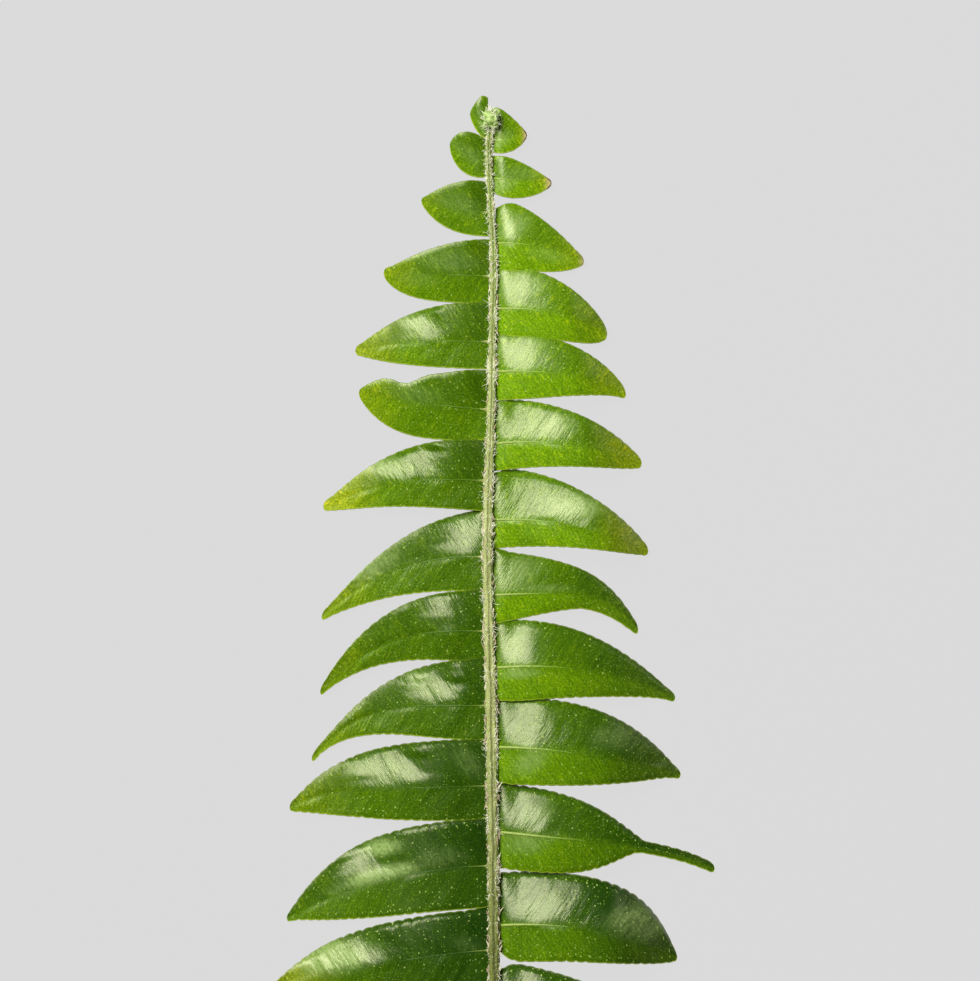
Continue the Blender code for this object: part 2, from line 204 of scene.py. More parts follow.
PINNAE = (
    Pinna(LEFT, 76.4, 2.6, 1.7, 0.0, 1.0, Margin(4.15, 1.25, 0.8, -0.35), Margin(2.0, 2.4, 0.8),
          0.5),
    Pinna(LEFT, 72.3, 4.9, 0.4, 1.5, 2.5, Margin(3.3, 3.5, 0.8, 0.27), Margin(2.2, 5.0, 0.6),
          0.9),
    Pinna(LEFT, 65.8, 8.8, 0.3, 1.2, 2.2, Margin(3.95, 2.4, 1.0, 0.12), Margin(2.9, 3.3, 0.75),
          0.8),
    Pinna(LEFT, 57.8, 13.8, 0.5, 0.0, 1.0, Margin(4.5, 2.0, 1.0), Margin(3.35, 4.5, 0.65), 0.6),
    Pinna(LEFT, 49.6, 17.2, 0.5, -1.6, 3.0, Margin(4.8, 2.4, 1.0), Margin(3.35, 2.9, 0.8), 0.3),
    Pinna(LEFT, 41.1, 16.6, 1.0, 1.1, 1.8, Margin(4.8, 2.6, 0.8, notch=1.3, notch_place=0.64),
          Margin(3.65, 4.0, 0.8, flare=0.45), 0.7),
    Pinna(LEFT, 32.2, 20.8, 1.0, -4.2, 2.7, Margin(5.0, 2.5, 1.1), Margin(3.7, 1.7, 0.6), 0.0),
    Pinna(LEFT, 22.7, 20.8, 0.3, -7.9, 2.5, Margin(5.7, 1.5, 1.05, -0.1), Margin(4.2, 2.2, 0.85),
          0.2),
    Pinna(LEFT, 13.4, 21.2, 0.5, -8.2, 3.0, Margin(5.0, 2.0, 0.75, -0.12),
          Margin(3.8, 1.8, 0.85), 0.5),
    Pinna(LEFT, 4.1, 22.5, 0.2, -7.0, 4.2, Margin(5.8, 2.2, 1.5, -0.1), Margin(4.25, 2.3, 1.1),
          0.0),
    Pinna(LEFT, -5.9, 25.4, -0.5, -2.3, 6.0, Margin(5.8, 3.0, 0.9),
          Margin(4.15, 3.4, 0.75, 0.1), 0.7),
    Pinna(LEFT, -15.9, 25.9, -0.2, -6.5, 2.1, Margin(5.85, 5.0, 0.95), Margin(5.2, 3.2, 1.05, 0.04),
          0.3),
    Pinna(LEFT, -26.4, 28.5, -1.6, -4.0, 2.0, Margin(5.1, 4.4, 0.95, -0.16),
          Margin(4.9, 2.6, 0.9, 0.06), 0.0),
    Pinna(LEFT, -36.9, 27.6, -1.0, -4.5, 2.3, Margin(5.4, 3.6, 1.0), Margin(4.7, 2.8, 0.9), 0.4),
    Pinna(LEFT, -47.4, 26.2, -1.4, -4.2, 2.0, Margin(5.2, 3.4, 0.95), Margin(4.5, 2.8, 0.9), 0.0),
    Pinna(RIGHT, 75.1, 4.7, 0.4, 0.0, 1.0, Margin(4.3, 1.25, 0.85), Margin(2.0, 3.5, 0.8, 0.1),
          0.7),
    Pinna(RIGHT, 70.1, 7.8, -0.6, 0.0, 1.0, Margin(3.2, 1.5, 0.85, 0.25),
          Margin(2.3, 3.0, 0.8, 0.4), 0.6),
    Pinna(RIGHT, 61.9, 11.4, 1.0, -3.2, 1.9, Margin(5.75, 1.3, 0.88, 0.4), Margin(3.35, 3.2, 0.8),
          0.6),
    Pinna(RIGHT, 53.7, 14.3, 0.9, -4.0, 2.2, Margin(5.3, 1.9, 0.6, 0.14),
          Margin(3.4, 3.8, 0.6, 0.1), 0.4),
    Pinna(RIGHT, 45.9, 16.8, 0.2, -3.1, 3.0, Margin(4.8, 2.0, 0.6, 0.15),
          Margin(3.5, 2.2, 0.95), 0.5),
    Pinna(RIGHT, 36.8, 19.0, 2.2, -4.6, 2.0, Margin(5.3, 1.9, 0.7, 0.05),
          Margin(3.3, 1.6, 0.55), 0.0),
    Pinna(RIGHT, 27.3, 20.1, 1.2, -5.1, 2.1, Margin(6.4, 1.7, 0.7, 0.2),
          Margin(3.5, 1.5, 0.6), 0.4),
    Pinna(RIGHT, 17.9, 18.8, 0.8, -5.2, 5.2, Margin(5.5, 1.3, 0.75, -0.2, tail=1.0),
          Margin(3.7, 0.92, 0.8, tail=1.6), 0.3),
    Pinna(RIGHT, 8.8, 23.2, 2.0, -5.8, 2.3, Margin(5.8, 2.15, 0.95, 0.02),
          Margin(4.3, 2.2, 1.0, 0.16), 0.2),
    Pinna(RIGHT, -1.1, 23.7, 0.8, -4.3, 1.8, Margin(6.25, 3.9, 1.0, -0.06),
          Margin(4.6, 2.6, 1.1, 0.12), 0.0),
    Pinna(RIGHT, -11.6, 27.8, -2.6, -2.2, 5.0,
          Margin(6.0, 2.9, 1.15, -0.1, blade_share=0.72, tail=0.6),
          Margin(4.5, 4.5, 1.8, 0.05, blade_share=0.7, tail=0.2), 0.6),
    Pinna(RIGHT, -23.4, 23.0, 2.0, -6.1, 2.2, Margin(6.45, 7.6, 1.0),
          Margin(4.65, 2.5, 0.7, 0.6), 0.0),
    Pinna(RIGHT, -33.9, 24.5, -0.6, -3.6, 2.0, Margin(5.9, 1.6, 0.9, 0.3),
          Margin(4.3, 2.4, 0.85, 0.15), 0.4),
    Pinna(RIGHT, -44.4, 25.5, 0.0, -4.2, 2.2, Margin(5.8, 2.2, 0.9, 0.2),
          Margin(4.3, 2.6, 0.9, 0.1), 0.2),
    Pinna(RIGHT, -54.9, 24.2, -0.4, -4.4, 2.0, Margin(5.5, 2.2, 0.9, 0.2),
          Margin(4.1, 2.4, 0.9, 0.1), 0.0),
)


class Lie(NamedTuple):
    """How one blade lies: shares of an early and of a late arch, the stretch of the blade where
    it goes down steeply and the share of its drop that falls there, how much its upper half is
    raised for each millimetre from the midrib, how steeply its halves fall away, how crinkled
    it is, the stretch of it that is waxy enough to shine, and the power of s in its late arch."""
    arch: float
    late: float = 0.0
    start: float = 0.0
    stop: float = 1.0
    share: float = 0.0
    turn: float = 0.0
    fall: float = 1.0
    crinkle: float = 1.0
    since: float = -1.0
    until: float = 2.0
    late_power: float = 1.35


LEFT_LIES = (
    Lie(0.4, turn=0.2, fall=0.5, crinkle=0.4), Lie(0.4, turn=0.25, fall=0.5, crinkle=0.4),
    Lie(0.4, turn=0.25, fall=0.5, crinkle=0.4), Lie(0.4, turn=0.24, fall=0.5, crinkle=0.4),
    Lie(0.4, 0.0, 0.44, 0.7, 0.7, since=0.38, until=0.6),
    Lie(0.3, turn=0.25, fall=0.4, crinkle=0.5),
    Lie(0.6, 0.0, 0.45, 0.75, 0.4, since=0.3, until=0.66),
    Lie(0.1, 0.0, 0.0, 0.36, 0.5, until=0.25),
    Lie(0.3, 0.0, 0.2, 0.45, 0.35, turn=0.13, until=0.34),
    Lie(0.4, 0.0, 0.12, 0.5, 0.6, since=0.18, until=0.42),
    Lie(0.6, 0.0, 0.33, 0.75, 0.7, crinkle=0.7, since=0.34, until=0.68),
    Lie(0.5, 0.0, 0.36, 0.8, 0.8, fall=0.6, crinkle=0.5, since=0.48, until=0.66),
    Lie(0.5, 0.0, 0.46, 0.88, 0.8, crinkle=0.7, since=0.48, until=0.84),
    Lie(0.7, until=0.7), Lie(0.7, until=0.7),
)
RIGHT_LIES = (
    Lie(0.6, fall=0.6, crinkle=0.5), Lie(0.6, fall=0.6, crinkle=0.5), Lie(0.6, 0.3, crinkle=0.5),
    Lie(0.4, 1.0, 0.6, 1.0, 0.8, crinkle=0.5), Lie(0.4, 1.0, 0.6, 1.0, 0.8, crinkle=0.5),
    Lie(0.1, 1.2, 0.6, 1.0, 0.8, crinkle=0.7, late_power=1.5),
    Lie(0.0, 1.4, 0.7, 1.0, 0.95, crinkle=0.8, late_power=1.75),
    Lie(0.3, turn=0.06, crinkle=0.7), Lie(0.8, crinkle=0.5),
    Lie(0.6, 0.6, 0.55, 1.0, 0.6, crinkle=0.6),
    Lie(0.68, crinkle=0.5), Lie(0.3, 1.1, 0.6, 1.0, 0.9, crinkle=0.6),
    Lie(0.6, crinkle=0.6), Lie(0.6, crinkle=0.6), Lie(0.6, crinkle=0.6),
)
LIES = LEFT_LIES + RIGHT_LIES


class SheenPatch(NamedTuple):
    """A soft pale patch of painted sheen: its middle as a share of the midrib and as millimetres
    above it, its half-length and half-width in millimetres, and its strength."""
    place: float
    away: float
    long: float
    wide: float
    strength: float


# Pale patches of painted sheen on the upper face, by the number of the blade in the list above
PAINTED_SHEENS = {
    1: (SheenPatch(0.5, 0.3, 2.0, 1.0, 0.18),),
    2: (SheenPatch(0.5, 0.8, 3.0, 1.4, 0.2),),
    3: (SheenPatch(0.45, 1.8, 4.0, 1.4, 0.25), SheenPatch(0.7, -0.6, 2.6, 1.0, 0.15)),
    4: (SheenPatch(0.56, 2.4, 2.2, 1.3, 0.6), SheenPatch(0.75, 0.8, 3.0, 0.9, 0.25)),
    5: (SheenPatch(0.6, 1.2, 3.4, 1.4, 0.2),),
    6: (SheenPatch(0.6, 2.2, 2.4, 1.2, 0.7),),
    7: (SheenPatch(0.12, 3.8, 1.7, 2.0, 0.35), SheenPatch(0.7, 2.0, 3.4, 1.3, 0.75)),
    9: (SheenPatch(0.36, 2.6, 2.2, 1.9, 0.45),),
    10: (SheenPatch(0.54, 2.4, 3.4, 1.8, 0.45), SheenPatch(0.12, 3.0, 1.6, 2.0, 0.2)),
    11: (SheenPatch(0.56, 0.9, 4.6, 0.9, 1.1), SheenPatch(0.54, 4.2, 2.2, 1.0, 0.85),
         SheenPatch(0.26, 1.6, 2.8, 1.3, 0.25)),
    12: (SheenPatch(0.7, 2.2, 4.2, 1.9, 1.2), SheenPatch(0.12, 1.0, 2.0, 1.2, 0.1)),
    15: (SheenPatch(0.25, -0.4, 1.4, 1.0, 0.4),),
    16: (SheenPatch(0.2, -0.7, 1.5, 1.1, 0.5), SheenPatch(0.5, 0.9, 2.4, 0.9, 0.25)),
    17: (SheenPatch(0.22, 2.0, 1.7, 1.7, 0.5), SheenPatch(0.6, -0.8, 2.6, 0.9, 0.2)),
    18: (SheenPatch(0.25, 3.0, 2.6, 1.8, 0.5),),
    19: (SheenPatch(0.22, 2.8, 2.6, 1.7, 0.4),),
    20: (SheenPatch(0.4, 2.4, 2.4, 1.5, 0.6),),
    21: (SheenPatch(0.52, 2.6, 3.2, 1.5, 0.9),),
    22: (SheenPatch(0.17, 2.6, 2.5, 2.0, 0.5), SheenPatch(0.34, 0.6, 3.6, 0.5, 0.3)),
    23: (SheenPatch(0.14, 3.0, 1.6, 2.2, 0.4), SheenPatch(0.16, -0.9, 2.2, 0.6, 0.6)),
    24: (SheenPatch(0.2, -1.6, 1.8, 1.5, 0.45), SheenPatch(0.62, 2.6, 2.2, 1.5, 0.28)),
    25: (SheenPatch(0.14, -1.2, 2.4, 1.2, 0.45), SheenPatch(0.2, 2.6, 2.2, 1.6, 0.3)),
    26: (SheenPatch(0.77, 2.4, 3.0, 2.1, 0.55), SheenPatch(0.24, 2.2, 2.6, 1.8, 0.2)),
}


# Settings that a user would change

LENGTH = {"precision": 6, "unit": "LENGTH"}
COLOUR = {"size": 3, "min": 0.0, "max": 1.0, "subtype": "COLOR"}
LAMP_POWER = {"min": 0.0, "max": 200.0, "unit": "POWER"}


class BladeSettings(bpy.types.PropertyGroup):
    """Sizes and colours of the pinnae and their midribs"""

    thickness: FloatProperty(
        name="Thickness", description="Thickness of a blade beside its midrib",
        default=0.22 * MM, min=0.05 * MM, max=0.5 * MM, **LENGTH)
    vein_pitch: FloatProperty(
        name="Vein pitch", description="Distance between neighbouring side veins",
        default=0.65 * MM, min=0.2 * MM, max=3.0 * MM, **LENGTH)
    vein_relief: FloatProperty(
        name="Vein relief", description="Height of the side veins over the blade",
        default=0.012 * MM, min=0.0, max=0.1 * MM, **LENGTH)
    fold_relief: FloatProperty(
        name="Fold relief", description="Height of the soft folds that run with the veins",
        default=0.075 * MM, min=0.0, max=0.2 * MM, **LENGTH)
    wave_relief: FloatProperty(
        name="Wave relief", description="Height of the broad waves in a blade",
        default=0.11 * MM, min=0.0, max=0.4 * MM, **LENGTH)
    tooth_depth: FloatProperty(
        name="Tooth depth", description="Depth of the notches in the margin of an old blade",
        default=0.24 * MM, min=0.0, max=0.5 * MM, **LENGTH)
    margin_roll: FloatProperty(
        name="Margin roll", description="How far the upper margin of an old blade rolls down",
        default=0.35 * MM, min=0.0, max=0.6 * MM, **LENGTH)
    # Ends of the painted light and shade on the blades; the green between them also deepens with
    # age
    lit_young_green: FloatVectorProperty(
        name="Fresh green", description="Brightest green of the blades",
        default=(0.25, 0.5, 0.004), **COLOUR)
    shaded_old_green: FloatVectorProperty(
        name="Deep green", description="Deepest green of the blades",
        default=(0.01, 0.06, 0.0007), **COLOUR)
    ripe_yellow: FloatVectorProperty(
        name="Ripe yellow", description="Colour of the yellowing tips",
        default=(0.5, 0.62, 0.015), **COLOUR)
    worn_olive: FloatVectorProperty(
        name="Worn olive", description="Colour of the dull ends of old blades",
        default=(0.07, 0.12, 0.016), **COLOUR)
    underside_green: FloatVectorProperty(
        name="Underside green", description="Colour of the paler underside",
        default=(0.22, 0.32, 0.09), **COLOUR)
    margin_yellow: FloatVectorProperty(
        name="Margin yellow", description="Colour of the thin edge of a blade",
        default=(0.42, 0.56, 0.04), **COLOUR)
    midrib_green: FloatVectorProperty(
        name="Midrib green", description="Colour of the midribs",
        default=(0.42, 0.56, 0.1), **COLOUR)
    dry_tan: FloatVectorProperty(
        name="Dry tan", description="Colour of a dried tip",
        default=(0.78, 0.58, 0.27), **COLOUR)
    # painted sheen: colour of the pale patches that stand for highlights
    painted_sheen_green: FloatVectorProperty(
        name="Wax green", description="Colour of the pale patches of wax",
        default=(0.32, 0.46, 0.13), **COLOUR)
    chalk_white: FloatVectorProperty(
        name="Chalk white", description="Colour of the small pale spots",
        default=(0.6, 0.78, 0.17), **COLOUR)


class RachisSettings(bpy.types.PropertyGroup):
    """Sizes and colours of the rachis, its hairs and its scales"""

    groove_share: FloatProperty(
        name="Groove", description="Depth of the upper groove as a share of the radius",
        default=0.14, min=0.0, max=0.6, subtype="FACTOR")
    hair_count: IntProperty(
        name="Hairs", description="How many pale hairs grow along the rachis",
        default=3800, min=0, max=5500)
    hair_length: FloatProperty(
        name="Hair length", description="Length of a typical hair",
        default=0.7 * MM, min=0.1 * MM, max=3.0 * MM, **LENGTH)
    scale_count: IntProperty(
        name="Scales", description="How many dry scales lie along the rachis",
        default=600, min=0, max=1500)
    ridge_green: FloatVectorProperty(
        name="Ridge green", description="Colour of the two ridges of the rachis",
        default=(0.61, 0.68, 0.22), **COLOUR)
    groove_olive: FloatVectorProperty(
        name="Groove olive", description="Colour of the groove between the ridges",
        default=(0.3, 0.32, 0.09), **COLOUR)
    flank_green: FloatVectorProperty(
        name="Flank green", description="Colour of the sides of the rachis",
        default=(0.44, 0.49, 0.17), **COLOUR)
    hair_white: FloatVectorProperty(
        name="Hair white", description="Colour of the pale hairs",
        default=(1.0, 0.98, 0.76), **COLOUR)
    scale_brown: FloatVectorProperty(
        name="Scale brown", description="Colour of the dry scales",
        default=(0.4, 0.3, 0.15), **COLOUR)


class StudioSettings(bpy.types.PropertyGroup):
    """Floor and lights of the plain studio"""

    floor_grey: FloatProperty(
        name="Floor grey", description="Brightness of the pale floor",
        default=0.69, min=0.0, max=1.0, subtype="FACTOR")
    key_power: FloatProperty(
        name="Key light", description="Power of the large soft light at the upper left",
        default=15.8, **LAMP_POWER)
    side_power: FloatProperty(
        name="Side light", description="Power of the weaker light at the upper right",
        default=0.7, **LAMP_POWER)
    room_light: FloatProperty(
        name="Room light", description="Strength of the even light of the room",
        default=0.03, min=0.0, max=2.0, subtype="FACTOR")


# Curves and noise


def smooth_step(t):
    """Go from 0 to 1 with level ends as t goes from 0 to 1: three t squared less two t cubed."""
    t = np.clip(t, 0.0, 1.0)
    return t * t * (3.0 - 2.0 * t)


def bell(x, middle, width):
    """A bell of height 1: e to the power of less the square of the distance over the width."""
    return np.exp(-((x - middle) / width) ** 2)


def curve_through(places, offsets, where):
    """Read a smooth curve through given points: cubic pieces with shared slopes."""
    places = np.asarray(places)
    offsets = np.asarray(offsets)
    slopes = np.gradient(offsets, places)
    where = np.asarray(where, dtype=float)
    k = np.clip(np.searchsorted(places, where) - 1, 0, len(places) - 2)
    gap = places[k + 1] - places[k]
    t = np.clip((where - places[k]) / gap, 0.0, 1.0)
    return (offsets[k] * (1.0 + 2.0 * t) * (1.0 - t) ** 2
            + slopes[k] * gap * t * (1.0 - t) ** 2
            + offsets[k + 1] * t * t * (3.0 - 2.0 * t)
            + slopes[k + 1] * gap * t * t * (t - 1.0))


def rachis_offset(y):
    """Sideways place of the rachis axis."""
    return curve_through(BEND_PLACES, BEND_OFFSETS, y)


def rachis_radius(y):
    """Half the rachis' width: even below, tapering with level ends to the rolled tip."""
    share = smooth_step((np.asarray(y) - RACHIS_TAPER_START) / (RACHIS_END - RACHIS_TAPER_START))
    return RACHIS_RADIUS + (RACHIS_TIP_RADIUS - RACHIS_RADIUS) * share


def rachis_height(y):
    """Height of the rachis axis: flat on the surface at the cut end, raised by the pinnae."""
    flat = FLAT_BELOW * RACHIS_RADIUS
    rise = smooth_step((np.asarray(y) - STIPE_END - FLAT_STIPE) / RISE_LENGTH)
    fall = smooth_step((np.asarray(y) - FALL_START) / (RACHIS_END - FALL_START))
    return flat + (RACHIS_HEIGHT - flat) * rise - (RACHIS_HEIGHT - RACHIS_TIP_HEIGHT) * fall


def scatter(column, row, seed):
    """Give each grid point its own number from 0 to 1: the fraction of a large sine."""
    return np.abs(np.sin(column * 127.1 + row * 311.7 + seed * 74.7) * 43758.5453) % 1.0


def soft_noise(x, y, seed):
    """Blend the scattered numbers of the four grid points around (x, y); from -1 to 1."""
    column, row = np.floor(x), np.floor(y)
    u, v = smooth_step(x - column), smooth_step(y - row)
    low = scatter(column, row, seed) * (1 - u) + scatter(column + 1, row, seed) * u
    high = scatter(column, row + 1, seed) * (1 - u) + scatter(column + 1, row + 1, seed) * u
    return (low * (1 - v) + high * v) * 2.0 - 1.0


# Meshes


def with_poles(values):
    """Add to each closed tube, after its rings, the means of its first and last ring."""
    tubes = values.shape[0]
    rest = values.shape[3:]
    body = values.reshape((tubes, -1) + rest)
    first = values[:, 0].mean(axis=1, keepdims=True)
    last = values[:, -1].mean(axis=1, keepdims=True)
    return np.concatenate([body, first, last], axis=1).reshape((-1,) + rest)


def ring_faces(tubes, rings, points):
    """List quads between neighbouring rings and fans round the two poles of every tube."""
    base = np.arange(tubes)[:, None, None] * (rings * points + 2)
    i = np.arange(rings - 1)[None, :, None] * points
    j = np.arange(points)[None, None, :]
    k = (j + 1) % points
    quads = np.stack([base + i + j, base + i + k, base + i + points + k, base + i + points + j],
                     axis=-1).reshape(-1, 4)
    start = np.arange(tubes)[:, None] * (rings * points + 2)
    j, k = j[0], k[0]
    last = start + (rings - 1) * points
    pole = start + rings * points
    fans = np.concatenate([
        np.stack([pole + 0 * j, start + k, start + j], axis=-1).reshape(-1, 3),
        np.stack([pole + 1 + 0 * j, last + j, last + k], axis=-1).reshape(-1, 3)])
    return quads, fans


def skin(name, rings, fields, flat_map=None):
    """Close a mesh round rings of points, shaped (tubes, rings, points, 3), in millimetres.

    Fields are numbers per point, kept as attributes; flat_map is a pair per point, kept as
    the UV map. The faces are turned over if the volume inside them comes out negative.
    """
    points = with_poles(rings)
    quads, fans = ring_faces(*rings.shape[:3])
    a, b, c, d = (points[quads[:, n]] for n in range(4))
    volume = (a * np.cross(b, c)).sum() + (a * np.cross(c, d)).sum()
    if volume < 0.0:
        quads = quads[:, ::-1]
        fans = fans[:, ::-1]
    corners = np.concatenate([quads.ravel(), fans.ravel()]).astype(np.int32)
    starts = np.concatenate([np.arange(len(quads)) * 4,
                             quads.size + np.arange(len(fans)) * 3]).astype(np.int32)
    mesh = bpy.data.meshes.new(name)
    mesh.vertices.add(len(points))
    mesh.vertices.foreach_set("co", (points * MM).astype(np.float32).ravel())
    mesh.loops.add(len(corners))
    mesh.loops.foreach_set("vertex_index", corners)
    mesh.polygons.add(len(starts))
    mesh.polygons.foreach_set("loop_start", starts)
    mesh.update(calc_edges=True)
    mesh.shade_smooth()
    for label, values in fields.items():
        layer = mesh.attributes.new(label, "FLOAT", "POINT")
        layer.data.foreach_set("value", with_poles(values).astype(np.float32))
    if flat_map is not None:
        layer = mesh.uv_layers.new(name="blade")
        layer.data.foreach_set("uv", with_poles(flat_map)[corners].astype(np.float32).ravel())
    piece = bpy.data.objects.new(name, mesh)
    bpy.context.scene.collection.objects.link(piece)
    return piece


def dress(piece, material):
    """Give a piece its finish and seat it on the packed frond."""
    piece.data.materials.append(material)
    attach(piece, BODY)
    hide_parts(NODE)


def unit(vectors):
    """Scale vectors to length one."""
    return vectors / np.maximum(np.linalg.norm(vectors, axis=-1, keepdims=True), 1e-9)


def carried(path, radii, count, flatness=1.0, across=None):
    """Carry an ellipse along paths shaped (tubes, rings, 3): centre plus radius times the
    cosine of the angle sideways, plus its sine times the flatness upwards."""
    tangent = unit(np.gradient(path, axis=1))
    if across is None:
        across = unit(np.cross(tangent, [0.0, 0.0, 1.0]) + [1e-6, 0.0, 0.0])
    across = np.broadcast_to(across, path.shape)
    upward = unit(np.cross(across, tangent))
    angle = (np.arange(count) + 0.5) * 2.0 * math.pi / count
    sides = np.cos(angle)[None, None, :, None] * across[:, :, None]
    rises = np.sin(angle)[None, None, :, None] * upward[:, :, None] * flatness
    return path[:, :, None] + radii[:, :, None, None] * (sides + rises)


# Blade form


def age_of(y):
    """How old a pinna is: 0 at the rolled tip, 1 low on the frond."""
    return smooth_step((74.0 - y) / 115.0)


def seed_of(order):
    """A number of its own for each blade, which shifts its teeth, waves and patterns."""
    return 0.173 * order + 0.11


def margin_width(margin, s, reach, rounding):
    """Half-width of one side: a full blade that closes at the tip, less its notch, softly
    joined to a quarter circle that rounds the tip.

    The notch is a narrow bell with a wider one at its foot. Two more bells make the root
    narrower: one on the shortest blades only, one by the margin's own shoulder.
    """
    t = np.clip(s / margin.blade_share, 0.0, 1.0)
    width = margin.width * (1.0 + margin.flare * t)
    width = width * (1.0 - t ** margin.fullness) ** margin.bluntness
    width = width - margin.notch * bell(s, margin.notch_place, NOTCH_WIDTH)
    width = width - 0.5 * margin.notch * bell(s, NOTCH_FOOT, NOTCH_FOOT_WIDTH)
    pinch = YOUNG_PINCH * min(max((6.0 - reach) / 3.0, 0.0), 1.0)
    width = width * (1.0 - pinch * bell(s * reach, 0.0, PINCH_LENGTH))
    shoulder = margin.shoulder * SHOULDER_SHARE
    width = width * (1.0 - shoulder * bell(s * reach, 0.0, SHOULDER_LENGTH))
    least = margin.tail * np.maximum(1.0 - s ** TAIL_POWER, 0.0) ** 0.5
    width = np.maximum(width, least) + WIDER
    to_tip = np.maximum(1.0 - s, 0.0) * reach
    inwards = 1.0 - np.minimum(to_tip / rounding, 1.0)
    cap = rounding * np.sqrt(np.maximum(1.0 - inwards ** 2, 0.0))
    joined = (np.maximum(width, 0.0) ** 3 + cap ** 3) ** (1.0 / 3.0)
    return np.maximum(joined * smooth_step(to_tip / 0.12) ** 0.5, NARROWEST)


def rib_line(pinna, s):
    """Place of the midrib in plan: straight out by the reach, lifted and swept as it goes."""
    x = rachis_offset(pinna.root) + pinna.side * pinna.reach * s
    y = pinna.root + pinna.lift * s + pinna.sweep * s ** pinna.bend
    return x, y


def rib_height(pinna, lie, s):
    """Height of the blade over its midrib: down from the rachis to the tip by a power of s and
    by a smooth step over its steep stretch, plus an early arch and a late one, half a wave of
    a sine of a power of s."""
    root_z = rachis_height(pinna.root) + BLADE_LIFT
    tip_z = SOLID_THICKNESS + pinna.tip_height
    step = smooth_step((s - lie.start) / (lie.stop - lie.start))
    down = (1.0 - lie.share) * s ** DROOP_POWER + lie.share * step
    arch = lie.arch * curve_through(ARCH_PLACES, ARCH_HEIGHTS, s)
    arch = arch + lie.late * np.sin(math.pi * np.clip(s, 0.0, 1.0) ** lie.late_power)
    return root_z + (tip_z - root_z) * down + arch * ARCH_SHARE * pinna.reach


def margin_shape(pinna, s, upper, depth, seed):
    """Half-width with teeth, and the running tooth count, along one margin.

    Teeth follow the veins: the count is the distance along the midrib plus the lean of the
    veins times the width lost on the way. Each tooth is a lobe, the root of a sine, between
    two narrow notches.
    """
    margin = pinna.upper if upper else pinna.lower
    rounding = (ROUND_UPPER if upper else ROUND_LOWER) * min(1.0, pinna.reach / 12.0)
    width = margin_width(margin, s, pinna.reach, rounding)
    count = (s * pinna.reach + VEIN_LEAN * (margin.width - width)) / TOOTH_PITCH + seed
    notch = 1.0 - np.abs(np.sin(math.pi * count)) ** 0.6
    uneven = 0.7 + 0.5 * soft_noise(count * 0.6, 0.0 * count, seed + 3.0)
    calm = smooth_step(width / 1.2)
    return np.maximum(width - depth * notch * uneven * calm, NARROWEST), count


def blade_fall(order, s, away):
    """How far a blade lies below its midrib: a power of the distance, steeper above, plus a
    crease, steeper below, both growing as the blade opens from its root; less a turn about the
    midrib, which is greater above wherever the blade is dull."""
    pinna, lie = PINNAE[order], LIES[order]
    upper = away > 0.0
    distance = np.abs(away)
    opening = smooth_step(s * pinna.reach / FALL_GROWTH)
    fall = np.where(upper, UPPER_FALL, LOWER_FALL) * (distance / FALL_WIDTH) ** FALL_POWER
    fall = fall + np.where(upper, UPPER_CREASE, LOWER_CREASE) * distance
    fall = fall * (FALL_START_SHARE + (1.0 - FALL_START_SHARE) * opening)
    turn = lie.turn + np.where(upper, DULL_TURN, 0.0) * (1.0 - gloss_of(order, s, away))
    return fall * lie.fall - turn * away * opening


def blade_relief(order, s, away, inset, settings):
    """Relief of a blade: veins that are a cosine across their lean, folds that are three sizes
    of noise drawn out along them, and broad waves; all of it stronger with age."""
    pinna, lie, seed = PINNAE[order], LIES[order], seed_of(order)
    distance = np.abs(away)
    apart = 10.0 * (away > 0.0)
    u = s * pinna.reach
    opening = smooth_step(u / FALL_GROWTH)
    lean = u - VEIN_LEAN * distance
    bent = lean + 0.4 * soft_noise(u / 2.3 + seed, away / 1.9, seed + 15.0)
    vein = np.cos(2.0 * math.pi * lean / (settings.vein_pitch / MM) + seed)
    fold = soft_noise(bent / 1.3 + seed, distance / 3.6 + apart, seed)
    fold = fold + 0.6 * soft_noise(bent / 0.7, distance / 2.8 + apart, seed + 5.0)
    fold = fold + PLEAT * soft_noise(bent / 3.1 + seed, distance / 5.0 + apart, seed + 7.0)
    wave = soft_noise(u / 6.0 + seed, away / 4.5, seed + 9.0)
    wave = wave + 0.45 * soft_noise(u / 2.6 + seed, away / 2.4, seed + 13.0)
    calm = 1.0 - smooth_step((s - 0.8) / 0.2)
    body = opening * smooth_step(inset / 1.0) * smooth_step(distance / 0.8)
    relief = (settings.vein_relief / MM * vein + settings.fold_relief / MM * fold) * body
    relief = relief * lie.crinkle + settings.wave_relief / MM * wave * opening * calm
    return relief * (0.5 + 0.5 * age_of(pinna.root))


def blade_height(order, s, away, half, settings):
    """Height of a blade's upper face over (s, away), away being millimetres from the midrib.

    It is the midrib's height, less the fall of its halves, the groove over the midrib and the
    roll at the margin, plus the relief. The root is sunk into the rachis, and the tip by what
    the blade is thinner than the solid.
    """
    pinna, lie = PINNAE[order], LIES[order]
    upper = away > 0.0
    distance = np.abs(away)
    inset = half - distance
    age = age_of(pinna.root)
    rolled = settings.margin_roll / MM * (0.25 + 0.75 * age) * np.where(upper, 1.0, 0.35)
    rolled = rolled * (1.0 - 0.8 * smooth_step((s - lie.until) / 0.15 + 0.5))
    roll = rolled * np.clip(1.0 - inset / ROLL_WIDTH, 0.0, 1.0) ** 2 * smooth_step(half / 2.0)
    groove = GROOVE_DEPTH * bell(distance, 0.0, GROOVE_WIDTH) * (1.0 - s)
    droop = (SOLID_THICKNESS - settings.thickness / MM) * s ** 2
    sink = ROOT_SINK[pinna.side] * bell(s * pinna.reach, 0.0, ROOT_LENGTH)
    lifted = rib_height(pinna, lie, s) - droop - sink
    return (lifted - blade_fall(order, s, away) - roll - groove
            + blade_relief(order, s, away, inset, settings))


